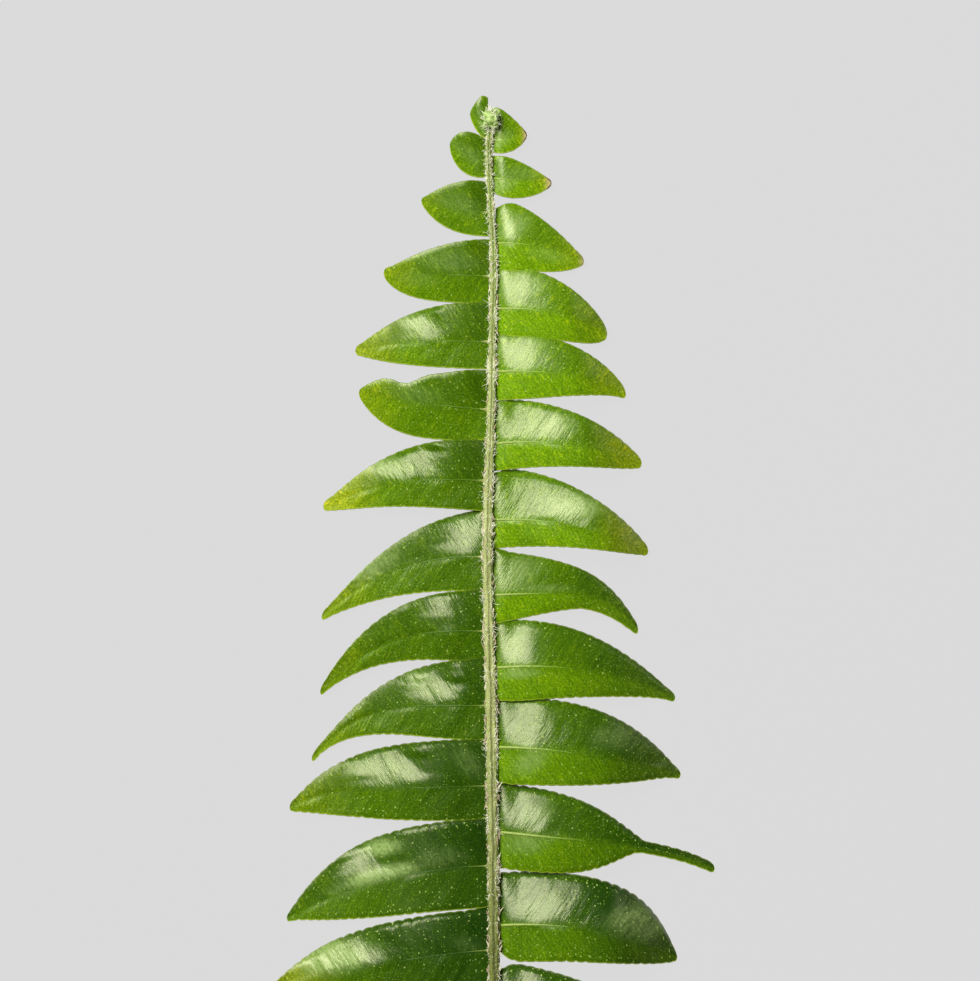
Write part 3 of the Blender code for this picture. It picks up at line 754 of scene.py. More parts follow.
def painted_light_of(order, s, across):
    """Painted light and shade of the green, with its own deepening by age: 0 for the deepest and 1
    for the brightest.

    As painted light and shade, left blades brighten outwards, right blades darken past their middle
    and recover a little at the tip, and the lower half is brighter than the upper one. Everything
    deepens with age, which is the blades' own colour.
    """
    pinna = PINNAE[order]
    age = age_of(pinna.root)
    below = smooth_step((0.25 - across) / 0.5)
    if pinna.side == LEFT:
        tone = (0.205 - 0.14 * age) * (1.0 + (0.5 + 1.4 * age) * s ** 1.5) * (1.0 + 0.3 * below)
    else:
        dark = smooth_step((s - 0.3) / 0.4) * (1.0 - 0.45 * smooth_step((s - 0.7) / 0.3))
        tone = (0.47 - 0.22 * age ** 2) * (1.0 - 0.52 * age * dark)
        tone = tone * (1.0 - (0.3 + 0.26 * age) * (1.0 - below))
    return (tone - 0.06) / 0.44


def gloss_of(order, s, away):
    """How waxy a blade is: up and down again by smooth steps along it, on lines that lean
    with the veins."""
    lie = LIES[order]
    s = s - VEIN_LEAN * (np.abs(away) - 2.5) / PINNAE[order].reach
    s = s + 0.03 * soft_noise(away / 0.9, seed_of(order) * 31.0, 3.0)
    return smooth_step((s - lie.since) / 0.18 + 0.5) * smooth_step((lie.until - s) / 0.24 + 0.5)


def painted_sheen_of(order, s, away):
    """How much painted sheen lies on a blade: the sum of its patches, each a bell over a slanting
    oval that leans with the veins."""
    painted_sheen = 0.0 * s
    for patch in PAINTED_SHEENS.get(order, ()):
        along = (s - patch.place) * PINNAE[order].reach - VEIN_LEAN * (away - patch.away)
        square = (along / patch.long) ** 2 + ((away - patch.away) / patch.wide) ** 2
        painted_sheen = painted_sheen + patch.strength * np.exp(-square ** 1.5)
    return painted_sheen


def by_side(across, upper, lower):
    """Give each point of a ring the upper margin's value above the midrib, the lower below."""
    return np.where(across > 0.0, upper[:, None], lower[:, None])


def blade_rings(order, settings):
    """Points of a blade's closed skin, ring by ring from the rachis to the tip.

    A ring runs over the upper face from the lower margin to the upper one, round the rim,
    and back below, where it lies one thickness lower; the thickness shrinks to the margins
    and the tip. Rings crowd together towards the tip, and points towards the margins.
    """
    pinna, seed = PINNAE[order], seed_of(order)
    age = age_of(pinna.root)
    steps = int(np.clip(pinna.reach * 9.0, 70, 240))
    half_rows = int(np.clip(max(pinna.upper.width, pinna.lower.width) * 4.0, 12, 22))
    start = 0.3 / pinna.reach
    q = np.linspace(0.0, 0.996, steps)
    s = start + (1.0 - start) * (1.0 - (1.0 - q) ** 1.5)
    depth = settings.tooth_depth / MM * (0.3 + 0.7 * age)
    upper, upper_count = margin_shape(pinna, s, True, depth, seed)
    lower, lower_count = margin_shape(pinna, s, False, LOWER_TEETH * depth, seed + 0.37)

    t = np.linspace(-1.0, 1.0, 2 * half_rows + 1)
    over = np.sign(t) * (1.0 - (1.0 - np.abs(t)) ** 1.5)
    under = np.linspace(0.97, -0.97, 13)
    across = np.concatenate([over, [1.0], under, [-1.0]])
    rim = np.zeros(len(across))
    rim[[len(over), -1]] = 0.25
    deep = np.concatenate([np.zeros(len(over)), [0.45], 1.0 - 0.3 * np.abs(under) ** 3, [0.45]])

    s = np.broadcast_to(s[:, None], (steps, len(across)))
    half = by_side(across, upper, lower)
    away = across * half
    x, y = rib_line(pinna, s)
    z = blade_height(order, s, away, half, settings)
    thick = settings.thickness / MM * (1.0 - s ** 10) ** 0.5
    z = np.maximum(z, settings.thickness / MM) - thick * deep
    y = y + away + np.sign(across) * rim * thick
    stride = np.maximum(np.gradient(s[:, 0]) * pinna.reach, 1e-9)
    slope = by_side(across, np.gradient(y[:, len(over) - 1]) / stride,
                    np.gradient(y[:, 0]) / stride)

    fields = {
        "inset": (half - np.abs(away)) / np.sqrt(1.0 + slope ** 2),
        "tooth": by_side(across, upper_count, lower_count),
        "along": s,
        "across": np.broadcast_to(across, s.shape),
        # painted light and shade of the green, together with its deepening by age
        "light": painted_light_of(order, s, across),
        "gloss": gloss_of(order, s, away),
        # painted sheen patches at each point
        "painted_sheen": painted_sheen_of(order, s, away),
        "underside": np.broadcast_to((deep > 0.5).astype(float), s.shape),
    }
    even = {"age": age, "crinkle": LIES[order].crinkle, "ripe": RIPE_ENDS.get(order, 0.0),
            "worn": WORN_ENDS.get(order, 0.0), "dry": DRY_ENDS.get(order, DRY_ELSEWHERE)}
    fields.update({label: np.full_like(s, value) for label, value in even.items()})
    flat_map = np.stack([s * pinna.reach + 40.0 * seed, away], axis=-1)
    return np.stack([x, y, z], axis=-1), fields, flat_map


def grow_pinnae(settings, material):
    """Build the thirty blades, each as one closed skin, numbered from the top on each side."""
    for order, pinna in enumerate(PINNAE):
        rings, fields, flat_map = blade_rings(order, settings)
        fields = {label: values[None] for label, values in fields.items()}
        side = "left" if pinna.side == LEFT else "right"
        name = f"pinna_{side}_{order % (len(PINNAE) // 2) + 1:02d}"
        dress(skin(name, rings[None], fields, flat_map[None]), material)


def rib_top(order, along, settings):
    """Place of a blade's upper face over its midrib, where no margin is near."""
    x, y = rib_line(PINNAE[order], along)
    z = blade_height(order, along, np.zeros_like(along), np.full_like(along, 3.0), settings)
    return x, y, z


def grow_midribs(settings, material):
    """Carry a tapering round along every midrib, half sunk in the groove of its blade."""
    s = np.linspace(0.0, 1.0, 70)
    paths = []
    radii = []
    for order, pinna in enumerate(PINNAE):
        along = (0.5 + (0.93 * pinna.reach - 0.5) * s) / pinna.reach
        x, y, z = rib_top(order, along, settings)
        radius = (0.06 + 0.14 * pinna.reach / 28.0) * MIDRIB_SIZE[pinna.side]
        radius = radius * (1.0 - along) ** 0.9 + 0.02
        paths.append(np.stack([x, y, z - radius * (0.3 + 0.8 * smooth_step(s / 0.6))], axis=-1))
        radii.append(radius)
    rings = carried(np.array(paths), np.array(radii), 8)
    along = np.broadcast_to(s[None, :, None], rings.shape[:3])
    # the blade's painted light and shade beside each midrib
    light = np.array([painted_light_of(order, s, -0.2) for order in range(len(PINNAE))])
    fade = np.array([MIDRIB_FADE[pinna.side] for pinna in PINNAE])[:, :, None, None]
    fields = {"fade": along * fade[:, 0] + fade[:, 1],
              "light": np.broadcast_to(light[:, :, None], rings.shape[:3])}
    dress(skin("midribs", rings, fields), material)


def grow_stalks(settings, material):
    """Join every midrib to the rachis with a short stalk that swells where it leaves it."""
    s = np.linspace(0.0, 1.0, 12)
    paths = []
    radii = []
    for order, pinna in enumerate(PINNAE):
        x, y, top = rib_top(order, (0.1 + 1.3 * s) / pinna.reach, settings)
        radius = (0.42 - 0.28 * smooth_step(s)) * min(1.0, pinna.reach / 16.0)
        paths.append(np.stack([x, y, top - radius * 0.6], axis=-1))
        radii.append(radius)
    rings = carried(np.array(paths), np.array(radii), 10)
    along = np.broadcast_to(s[None, :, None], rings.shape[:3])
    dress(skin("stalks", rings, {"along": along}), material)


# Rachis


def rachis_profile(angle, y, settings):
    """Radius share of the section at an angle: round, less a bell-shaped groove on top and
    two shallow ones at its sides, with fine ridges that run along it and a bell-shaped knob
    on its side wherever a pinna leaves it."""
    degrees = np.degrees(angle)
    roots = np.array([pinna.root for pinna in PINNAE])
    sides = np.array([0.0 if pinna.side == RIGHT else 180.0 for pinna in PINNAE])
    turned = (degrees[..., None] - sides + 180.0) % 360.0 - 180.0
    knob = np.exp(-((y[..., None] - roots) / 0.55) ** 2 - (turned / 50.0) ** 2).sum(axis=-1)
    groove = settings.groove_share * bell(degrees, 90.0, 17.0)
    flank = 0.1 * bell(degrees, 22.0, 12.0) + 0.1 * bell(degrees, 158.0, 12.0)
    ridge = 0.018 * soft_noise(degrees / 9.0, y / 9.0, 2.0)
    rough = 0.09 * soft_noise(degrees / 40.0, y / 1.1, 4.0)
    return 1.0 - groove - flank + ridge + rough + 0.26 * knob


def grow_rachis(settings, material):
    """Carry the grooved section along the rachis: centre plus radius times the profile."""
    y = np.linspace(STIPE_END, RACHIS_END, RACHIS_RINGS)[:, None]
    angle = (np.arange(RACHIS_POINTS) + 0.5)[None, :] * 2.0 * math.pi / RACHIS_POINTS
    radius = rachis_radius(y) * rachis_profile(angle, y, settings)
    x = rachis_offset(y) + radius * np.cos(angle)
    z = rachis_height(y) + np.maximum(radius * np.sin(angle), -FLAT_BELOW * rachis_radius(y))
    y = y + 0.0 * angle
    rings = np.stack([x, y, z], axis=-1)[None]
    fields = {"angle": np.degrees(angle + 0.0 * y)[None], "place": y[None]}
    dress(skin("rachis", rings, fields), material)


def coil_centre():
    """Middle of the rolled tip: over the end of the rachis, one coil radius above its axis."""
    return np.array([float(rachis_offset(RACHIS_END)), COIL_MIDDLE,
                     float(rachis_height(RACHIS_END)) + COIL_RADIUS])


def upright(turn):
    """Directions in the upright plane along the rachis: its cosine forwards, its sine up."""
    return np.stack([0.0 * turn, np.cos(turn), np.sin(turn)], axis=-1)


def grow_rolled_tip(material):
    """Roll the end of the rachis up and over: a flat shrinking round carried along a straight
    lead and then a spiral, whose radius falls evenly with the turn."""
    share = np.linspace(0.0, 1.0, 100)
    lead = np.linspace(0.0, 1.0, 10, endpoint=False)
    away = COIL_RADIUS * (1.0 - COIL_SHRINK * share)
    path = coil_centre() + away[:, None] * upright(np.radians(COIL_TURN * share - 90.0))
    path = np.concatenate([path[0] - np.outer(1.0 - lead, [0.0, COIL_LEAD, 0.0]), path])
    radii = np.concatenate([0.38 + 0.36 * lead, 0.74 - 0.4 * share])
    share = np.concatenate([0.0 * lead, share])
    radii = radii * (1.0 + 0.16 * np.sin(share * 60.0))
    rings = carried(path[None], radii[None], count=18, flatness=0.6,
                    across=np.array([1.0, 0.0, 0.0]))
    fields = {"along": np.broadcast_to(share[None, :, None], rings.shape[:3])}
    dress(skin("rolled_tip", rings, fields), material)


def grow_rolled_leaflets(material):
    """Set young folded pinnae as short strands down both sides of the rolled tip: each starts
    beside the spiral, leads outwards and bends back over it."""
    number = np.arange(LEAFLETS)
    side = np.where(number % 2 == 0, 1.0, -1.0)
    out = upright(np.radians(-60.0 + 300.0 * (number // 2) / 10.0))
    beside = np.stack([side, 0.0 * side, 0.0 * side], axis=-1)
    start = coil_centre() + 0.85 * COIL_RADIUS * out + 0.4 * beside
    rings = strands(start, unit(beside + 0.5 * out), -0.75 * out - 0.35 * beside,
                    length=np.full(LEAFLETS, 0.85), thickness=np.full(LEAFLETS, 0.3),
                    flatness=0.55, steps=9, count=10)
    rings[..., 2] = np.maximum(rings[..., 2], 0.05)
    dress(skin("rolled_leaflets", rings, {"along": np.ones(rings.shape[:3])}), material)


# Hairs and scales


def strands(start, heading, bend, length, thickness, flatness, steps, count):
    """Points of thin tapering strands: start plus heading times t plus bend times t squared."""
    t = np.linspace(0.0, 1.0, steps)[None, :, None]
    path = start[:, None] + length[:, None, None] * (heading[:, None] * t + bend[:, None] * t * t)
    path[:, :, 2] = np.maximum(path[:, :, 2], 0.06)
    radii = thickness[:, None] * (1.0 - t[:, :, 0] ** 2) ** 0.5 + 0.006
    return carried(path, radii, count, flatness)


def clumped(random, count, low, high):
    """Places from low to high, six in ten of them gathered in clumps and at pinna roots."""
    middles = np.concatenate([random.uniform(low, high, 60), [pinna.root for pinna in PINNAE]])
    gathered = middles[random.integers(0, len(middles), count)] + random.normal(0.0, 0.5, count)
    places = np.where(random.random(count) < 0.6, gathered, random.uniform(low, high, count))
    return np.clip(places, low, high)


def on_flanks(random, count, stretch, right_arc, left_arc, depth):
    """Scatter points over both flanks of the rachis: clumped places along a stretch of it, an
    angle in the right or the left arc of degrees, at a share of the radius."""
    y = clumped(random, count, *stretch)
    right = random.random(count) < 0.5
    angle = np.radians(np.where(right, random.uniform(*right_arc, count),
                                random.uniform(*left_arc, count)))
    radius = rachis_radius(y) * depth
    start = np.stack([rachis_offset(y) + radius * np.cos(angle), y,
                      rachis_height(y) + radius * np.sin(angle)], axis=-1)
    return y, angle, start


def plant(name, rings, tone, material):
    """Close strands into one piece, each strand with its own tone."""
    fields = {"tone": np.broadcast_to(tone[:, None, None], rings.shape[:3])}
    dress(skin(name, rings, fields), material)


def grow_hairs(settings, material):
    """Plant pale woolly hairs along both sides of the rachis and all round the rolled tip.

    The hairs shorten by a smooth step towards the stipe. Those of the tuft start on an oval
    ball round the rolled tip and point away from it.
    """
    random = np.random.default_rng(5)
    count = settings.hair_count
    y, angle, start = on_flanks(random, count, stretch=(-79.0, RACHIS_END), right_arc=(15, 70),
                                left_arc=(115, 190), depth=0.9)
    outward = np.stack([0.35 * np.cos(angle), random.uniform(-1.8, 1.8, count),
                        0.4 * np.sin(angle)], axis=-1)
    length = settings.hair_length / MM * random.uniform(0.4, 1.2, count)
    length = length * (1.0 - 0.62 * smooth_step((5.0 - y) / 50.0))
    tuft = count // 32
    ball = unit(random.normal(0.0, 1.0, (tuft, 3)))
    start[:tuft] = coil_centre() + ball * TUFT_SIZE
    outward[:tuft] = ball + random.normal(0.0, 0.6, (tuft, 3))
    length[:tuft] = random.uniform(0.4, 0.8, tuft)
    heading = unit(outward + random.normal(0.0, 0.25, (count, 3)))
    bend = random.normal(0.0, 0.4, (count, 3))
    bend[:, 0] -= heading[:, 0] * 0.3
    thickness = random.uniform(0.016, 0.034, count)
    rings = strands(start, heading, bend, length, thickness, flatness=0.7, steps=5, count=3)
    plant("hairs", rings, random.random(count), material)


def grow_scales(settings, material):
    """Lay dry scales along the rachis, most of them crowded round the roots of the pinnae."""
    random = np.random.default_rng(11)
    count = settings.scale_count
    y, angle, start = on_flanks(random, count, stretch=(-78.5, 75.0), right_arc=(0, 60),
                                left_arc=(120, 180), depth=0.98)
    along = random.choice([-1.0, 1.0], count) * random.uniform(0.5, 1.5, count)
    heading = unit(np.stack([np.cos(angle) * 0.28, along, np.sin(angle) * 0.15], axis=-1))
    bend = random.normal(0.0, 0.15, (count, 3))
    length = random.uniform(0.35, 1.0, count) * (0.6 + 0.4 * smooth_step((70.0 - y) / 40.0))
    thickness = random.uniform(0.05, 0.13, count)
    rings = strands(start, heading, bend, length, thickness, flatness=0.25, steps=7, count=6)
    plant("scales", rings, random.random(count), material)


# Shader nodes


class Wiring:
    """Adds nodes to one tree; each call gives back the new node's output."""

    def __init__(self, tree):
        self.tree = tree
        self.column = 0

    def add(self, kind, inputs=None, **settings):
        """Add a node, set its properties, and feed its sockets by name or number."""
        node = self.tree.nodes.new(kind)
        self.column += 1
        node.location = (180.0 * (self.column % 12), -260.0 * (self.column // 12))
        for label, value in settings.items():
            setattr(node, label, value)
        for label, value in (inputs or {}).items():
            self.feed(node.inputs[label], value)
        return node

    def feed(self, socket, value):
        """Link an output to a socket, or set the socket to a plain value."""
        if isinstance(value, bpy.types.NodeSocket):
            self.tree.links.new(value, socket)
        elif hasattr(value, "__len__") and socket.type == "RGBA":
            socket.default_value = (*value, 1.0)
        else:
            socket.default_value = value

    def maths(self, operation, *values):
        """Work out one sum of Blender's own list."""
        inputs = dict(enumerate(values))
        return self.add("ShaderNodeMath", inputs, operation=operation).outputs[0]

    def times(self, first, second):
        return self.maths("MULTIPLY", first, second)

    def plus(self, first, second):
        return self.maths("ADD", first, second)

    def less(self, first, second):
        return self.maths("SUBTRACT", first, second)

    def mask(self, value, low, high):
        """Go smoothly from 0 at low to 1 at high."""
        inputs = {"Value": value, "From Min": low, "From Max": high}
        return self.add("ShaderNodeMapRange", inputs, interpolation_type="SMOOTHSTEP").outputs[0]

    def vector(self, *parts):
        """Put up to three numbers together."""
        return self.add("ShaderNodeCombineXYZ", dict(enumerate(parts))).outputs[0]

    def stretched(self, vector, scale):
        """Multiply the parts of a place by a scale."""
        inputs = {"Vector": vector, "Scale": scale}
        return self.add("ShaderNodeMapping", inputs).outputs[0]

    def mixed(self, share, first, second, blend="MIX"):
        """Go from the first colour to the second by a share."""
        inputs = {0: share, 6: first, 7: second}
        return self.add("ShaderNodeMix", inputs, data_type="RGBA", blend_type=blend).outputs[2]

    def tinted(self, colour, red, green, blue):
        """Multiply the three parts of a colour."""
        return self.mixed(1.0, colour, (red, green, blue), "MULTIPLY")

    def noise(self, vector, scale, detail=2.0, roughness=0.5):
        """Soft noise from 0 to 1; the scale is in patches to a millimetre."""
        inputs = {"Vector": vector, "Scale": scale, "Detail": detail, "Roughness": roughness}
        return self.add("ShaderNodeTexNoise", inputs).outputs["Fac"]

    def field(self, label):
        """Read a number that the mesh holds at every point."""
        return self.add("ShaderNodeAttribute", attribute_name=label).outputs["Fac"]

    def weighted(self, base, *terms):
        """Add to a base each value times its weight."""
        for value, weight in terms:
            base = self.plus(base, self.times(value, weight))
        return base

    def group(self, tree, **inputs):
        """Place a shared effect; gives its outputs."""
        return self.add("ShaderNodeGroup", inputs, node_tree=tree).outputs


def effect(name, inputs, outputs):
    """Start a node group with named inputs and outputs; gives its wiring and its two ends."""
    tree = bpy.data.node_groups.new(name, "ShaderNodeTree")
    for label, kind, default in inputs:
        socket = tree.interface.new_socket(label, in_out="INPUT", socket_type=kind)
        socket.default_value = default
    for label in outputs:
        tree.interface.new_socket(label, in_out="OUTPUT", socket_type=NUMBER)
    wiring = Wiring(tree)
    entry = wiring.add("NodeGroupInput").outputs
    leave = wiring.add("NodeGroupOutput").inputs
    return tree, wiring, entry, leave


def vein_effect(name):
    """Side veins and streaks that lean outwards from a midrib.

    The lean coordinate is the distance along less a share of the distance away. Lines are
    the tops of its saw teeth, streaks are noise drawn out along the veins.
    """
    tree, w, entry, leave = effect(
        name, [("Along", NUMBER, 0.0), ("Away", NUMBER, 0.0), ("Pitch", NUMBER, 0.65)],
        ["Line", "Streak", "Fine"])
    distance = w.maths("ABSOLUTE", entry["Away"])
    lean = w.less(entry["Along"], w.times(distance, VEIN_LEAN))
    upper = w.times(w.maths("GREATER_THAN", entry["Away"], 0.0), 17.0)
    saw = w.maths("PINGPONG", w.maths("DIVIDE", lean, entry["Pitch"]), 0.5)
    w.feed(leave["Line"], w.mask(saw, 0.3, 0.5))
    streak = w.noise(w.vector(lean, w.times(distance, 0.2), upper), 0.9, 3.0)
    w.feed(leave["Streak"], w.mask(streak, 0.3, 0.7))
    fine = w.noise(w.vector(lean, w.times(distance, 0.3), upper), 3.2, 2.0)
    w.feed(leave["Fine"], w.mask(fine, 0.25, 0.75))
    return tree


def mottle_effect(name):
    """Grainy, fine and broad patches of tone from three sizes of noise."""
    tree, w, entry, leave = effect(
        name, [("Vector", VECTOR, (0.0, 0.0, 0.0))], ["Grain", "Fine", "Broad"])
    w.feed(leave["Grain"], w.mask(w.noise(entry["Vector"], 4.2, 3.0, 0.65), 0.28, 0.72))
    w.feed(leave["Fine"], w.mask(w.noise(entry["Vector"], 2.6, 3.0, 0.6), 0.25, 0.75))
    w.feed(leave["Broad"], w.mask(w.noise(entry["Vector"], 0.28, 2.0), 0.3, 0.7))
    return tree


def fleck_effect(name):
    """Small round spots: one in each chosen cell of a cell pattern, of uneven size."""
    tree, w, entry, leave = effect(
        name, [("Vector", VECTOR, (0.0, 0.0, 0.0)), ("Spacing", NUMBER, 0.8),
               ("Share", NUMBER, 0.3), ("Size", NUMBER, 0.1)], ["Spot"])
    inputs = {"Vector": entry["Vector"], "Scale": w.maths("DIVIDE", 1.0, entry["Spacing"])}
    cells = w.add("ShaderNodeTexVoronoi", inputs, voronoi_dimensions="2D").outputs
    parts = w.add("ShaderNodeSeparateColor", {0: cells["Color"]}).outputs
    chosen = w.maths("LESS_THAN", parts[0], entry["Share"])
    radius = w.times(entry["Size"], w.plus(parts[1], 0.45))
    distance = w.times(cells["Distance"], entry["Spacing"])
    spot = w.mask(w.maths("DIVIDE", distance, radius), 1.0, 0.5)
    w.feed(leave["Spot"], w.times(spot, chosen))
    return tree


def margin_effect(name):
    """Marks that follow a margin: its thin edge, and one pale water pore behind each tooth."""
    tree, w, entry, leave = effect(
        name, [("Inset", NUMBER, 1.0), ("Tooth", NUMBER, 0.0)], ["Edge", "Pore"])
    w.feed(leave["Edge"], w.mask(entry["Inset"], 0.13, 0.04))
    beside = w.times(w.less(w.maths("FRACT", entry["Tooth"]), 0.5), TOOTH_PITCH)
    behind = w.less(entry["Inset"], 0.72)
    square = w.plus(w.times(beside, beside), w.times(behind, behind))
    w.feed(leave["Pore"], w.mask(w.maths("SQRT", square), 0.14, 0.05))
    return tree


EFFECTS = {"veins": ("leaning veins", vein_effect), "mottle": ("mottling", mottle_effect),
           "flecks": ("flecks", fleck_effect), "margin": ("margin marks", margin_effect)}


def shared_effects():
    """Build each node group once, or give back the ones that are there."""
    return {key: bpy.data.node_groups.get(name) or make(name)
            for key, (name, make) in EFFECTS.items()}


# Materials


def preset(node, **values):
    """Set sockets of a node to plain values, by their names with underscores for spaces."""
    for label, value in values.items():
        node.inputs[label.replace("_", " ")].default_value = value


def new_material(name):
    """Start a material with a Principled shader; gives it, its wiring and the shader."""
    material = bpy.data.materials.new(name)
    material.use_nodes = True
    wiring = Wiring(material.node_tree)
    return material, wiring, material.node_tree.nodes["Principled BSDF"]


def object_mm(w):
    """Object coordinates in millimetres."""
    return w.stretched(w.add("ShaderNodeTexCoord").outputs["Object"], (1.0 / MM,) * 3)


def mottled_material(name, effects):
    """Start a material as above; gives also a fine mottling on Object coordinates."""
    material, w, shader = new_material(name)
    return material, w, shader, w.group(effects["mottle"], Vector=object_mm(w))["Fine"]


def finish(w, shader, colour, rough, height, depth):
    """Feed a colour, a roughness and a bump: a height from 0 to 1 times a depth in mm."""
    w.feed(shader.inputs["Base Color"], colour)
    w.feed(shader.inputs["Roughness"], rough)
    raised = w.add("ShaderNodeBump", {"Distance": depth * MM, "Height": height})
    w.feed(shader.inputs["Normal"], raised.outputs[0])


def living_green(w, settings, along, veins, mottle):
    """Green of a blade: from the deepest to the brightest by its painted light and shade and its
    age, ripe or worn at its end, darkened and lightened by three sizes of mottling, and then by the
    lines, streaks and hairlines of its veins. Gives a dim one too."""
    # painted light and shade: the deepest and brightest greens mixed by the painted light field
    green = w.mixed(w.field("light"), settings.shaded_old_green, settings.lit_young_green)
    ripe = w.times(w.field("ripe"), w.mask(along, 0.6, 1.0))
    green = w.mixed(ripe, green, settings.ripe_yellow)
    worn = w.times(w.field("worn"), w.mask(along, 0.55, 0.95))
    green = w.mixed(worn, green, settings.worn_olive)
    deep = w.tinted(green, 0.56, 0.66, 0.5)
    lush = w.tinted(green, 1.58, 1.38, 1.45)
    green = w.mixed(mottle["Grain"], deep, lush)
    deep = w.tinted(green, 0.7, 0.76, 0.6)
    green = w.mixed(w.times(mottle["Fine"], 0.5), green, deep)
    green = w.mixed(w.times(mottle["Broad"], 0.5), green, deep)
    lush = w.tinted(green, 1.55, 1.34, 1.2)
    green = w.mixed(w.times(veins["Line"], 0.25), green, lush)
    green = w.mixed(w.times(veins["Streak"], 0.6), green, lush)
    dim = w.tinted(green, 0.64, 0.72, 0.62)
    green = w.mixed(w.times(veins["Fine"], 0.6), dim, green)
    pale = w.tinted(green, 2.3, 1.7, 2.6)
    share = w.less(0.5, w.times(w.field("age"), 0.22))
    return w.mixed(w.times(w.mask(veins["Fine"], 0.7, 1.0), share), green, pale), dim


def blade_material(settings, effects):
    """Living blade: green with painted light and shade that deepens with age, mottled and
    streaked along its veins, with a pale thin edge, water pores, chalk flecks, a dry end, painted
    shade above the midrib, and a broken sheen: real gloss from its roughness, with pale patches
    of painted sheen."""
    material, w, shader = new_material("living blade")
    flat = w.add("ShaderNodeUVMap", uv_map="blade").outputs[0]
    run = w.add("ShaderNodeSeparateXYZ", {0: flat}).outputs
    age, inset, along, across = (w.field(name) for name in ("age", "inset", "along", "across"))
    veins = w.group(effects["veins"], Along=run[0], Away=run[1], Pitch=settings.vein_pitch / MM)
    mottle = w.group(effects["mottle"], Vector=flat)
    marks = w.group(effects["margin"], Inset=inset, Tooth=w.field("tooth"))
    flecks = w.group(effects["flecks"], Vector=flat, Spacing=0.8, Share=0.28, Size=0.09)
    grains = w.group(effects["flecks"], Vector=flat, Spacing=0.36, Share=0.32, Size=0.055)
    green, dim = living_green(w, settings, along, veins, mottle)

    # painted shade along a line just above the midrib, fading out towards the tip
    near_rib = w.maths("ABSOLUTE", w.less(run[1], 0.24))
    crease = w.times(w.mask(near_rib, 0.16, 0.04), w.mask(along, 0.65, 0.2))
    green = w.mixed(w.times(crease, 0.45), green, dim)
    band = w.times(w.mask(inset, 0.45, 0.1), w.mask(across, 0.0, 0.2))
    band = w.times(band, w.times(age, 0.6))
    green = w.mixed(band, green, w.tinted(green, 0.45, 0.5, 0.5))
    edge = w.times(marks["Edge"], w.weighted(0.2, (w.mask(across, 0.02, -0.25), 0.7)))
    green = w.mixed(edge, green, settings.margin_yellow)

    dry_from = w.less(1.05, w.times(w.field("dry"), 0.2))
    ragged = w.weighted(along, (mottle["Fine"], 0.05))
    dry = w.mask(ragged, dry_from, w.plus(dry_from, 0.15))
    green = w.mixed(w.times(dry, 0.8), green, settings.dry_tan)
    green = w.mixed(w.times(dry, w.mask(inset, 0.2, 0.08)), green, BURNT_BROWN)

    pores = w.times(marks["Pore"], w.times(w.mask(age, 0.55, 0.95), 0.6))
    pores = w.times(pores, w.plus(mottle["Broad"], 0.3))
    chalk = w.maths("MAXIMUM", w.times(flecks["Spot"], 0.6), w.times(grains["Spot"], 0.42))
    chalk = w.maths("MAXIMUM", chalk, pores)
    green = w.mixed(chalk, green, settings.chalk_white)

    # painted sheen: pale patches, broken along the veins, laid over the green
    broken = w.weighted(0.35, (veins["Streak"], 0.5), (veins["Fine"], 0.45))
    broken = w.times(broken, w.plus(0.6, mottle["Fine"]))
    painted_sheen_mix = w.maths("MINIMUM", w.times(w.field("painted_sheen"), broken), 0.9)
    green = w.mixed(painted_sheen_mix, green, settings.painted_sheen_green)
    green = w.mixed(w.field("underside"), green, settings.underside_green)

    rough = w.weighted(0.2, (mottle["Fine"], 0.08), (w.less(1.0, w.field("gloss")), 0.08),
                       (mottle["Broad"], 0.06), (chalk, 0.2))
    height = w.weighted(w.times(mottle["Fine"], 0.24), (veins["Fine"], w.field("crinkle")),
                        (mottle["Grain"], 0.1), (chalk, 0.4))
    finish(w, shader, green, rough, height, 0.026)
    preset(shader, Specular_IOR_Level=0.5, Specular_Tint=LEAF_TINT)
    return material


def midrib_material(settings, effects):
    """Pale smooth midrib that greens towards the tip of its blade, taking on the blade's green with
    its painted light and shade.
    """
    material, w, shader, fine = mottled_material("midrib", effects)
    # the blade's green, with its painted light and shade
    blade = w.mixed(w.field("light"), settings.shaded_old_green, settings.lit_young_green)
    green = w.mixed(w.mask(w.field("fade"), 0.1, 0.75), settings.midrib_green, blade)
    green = w.mixed(w.times(fine, 0.5), green, w.tinted(green, 0.6, 0.65, 0.5))
    finish(w, shader, green, w.weighted(0.4, (fine, 0.1)), fine, 0.02)
    return material


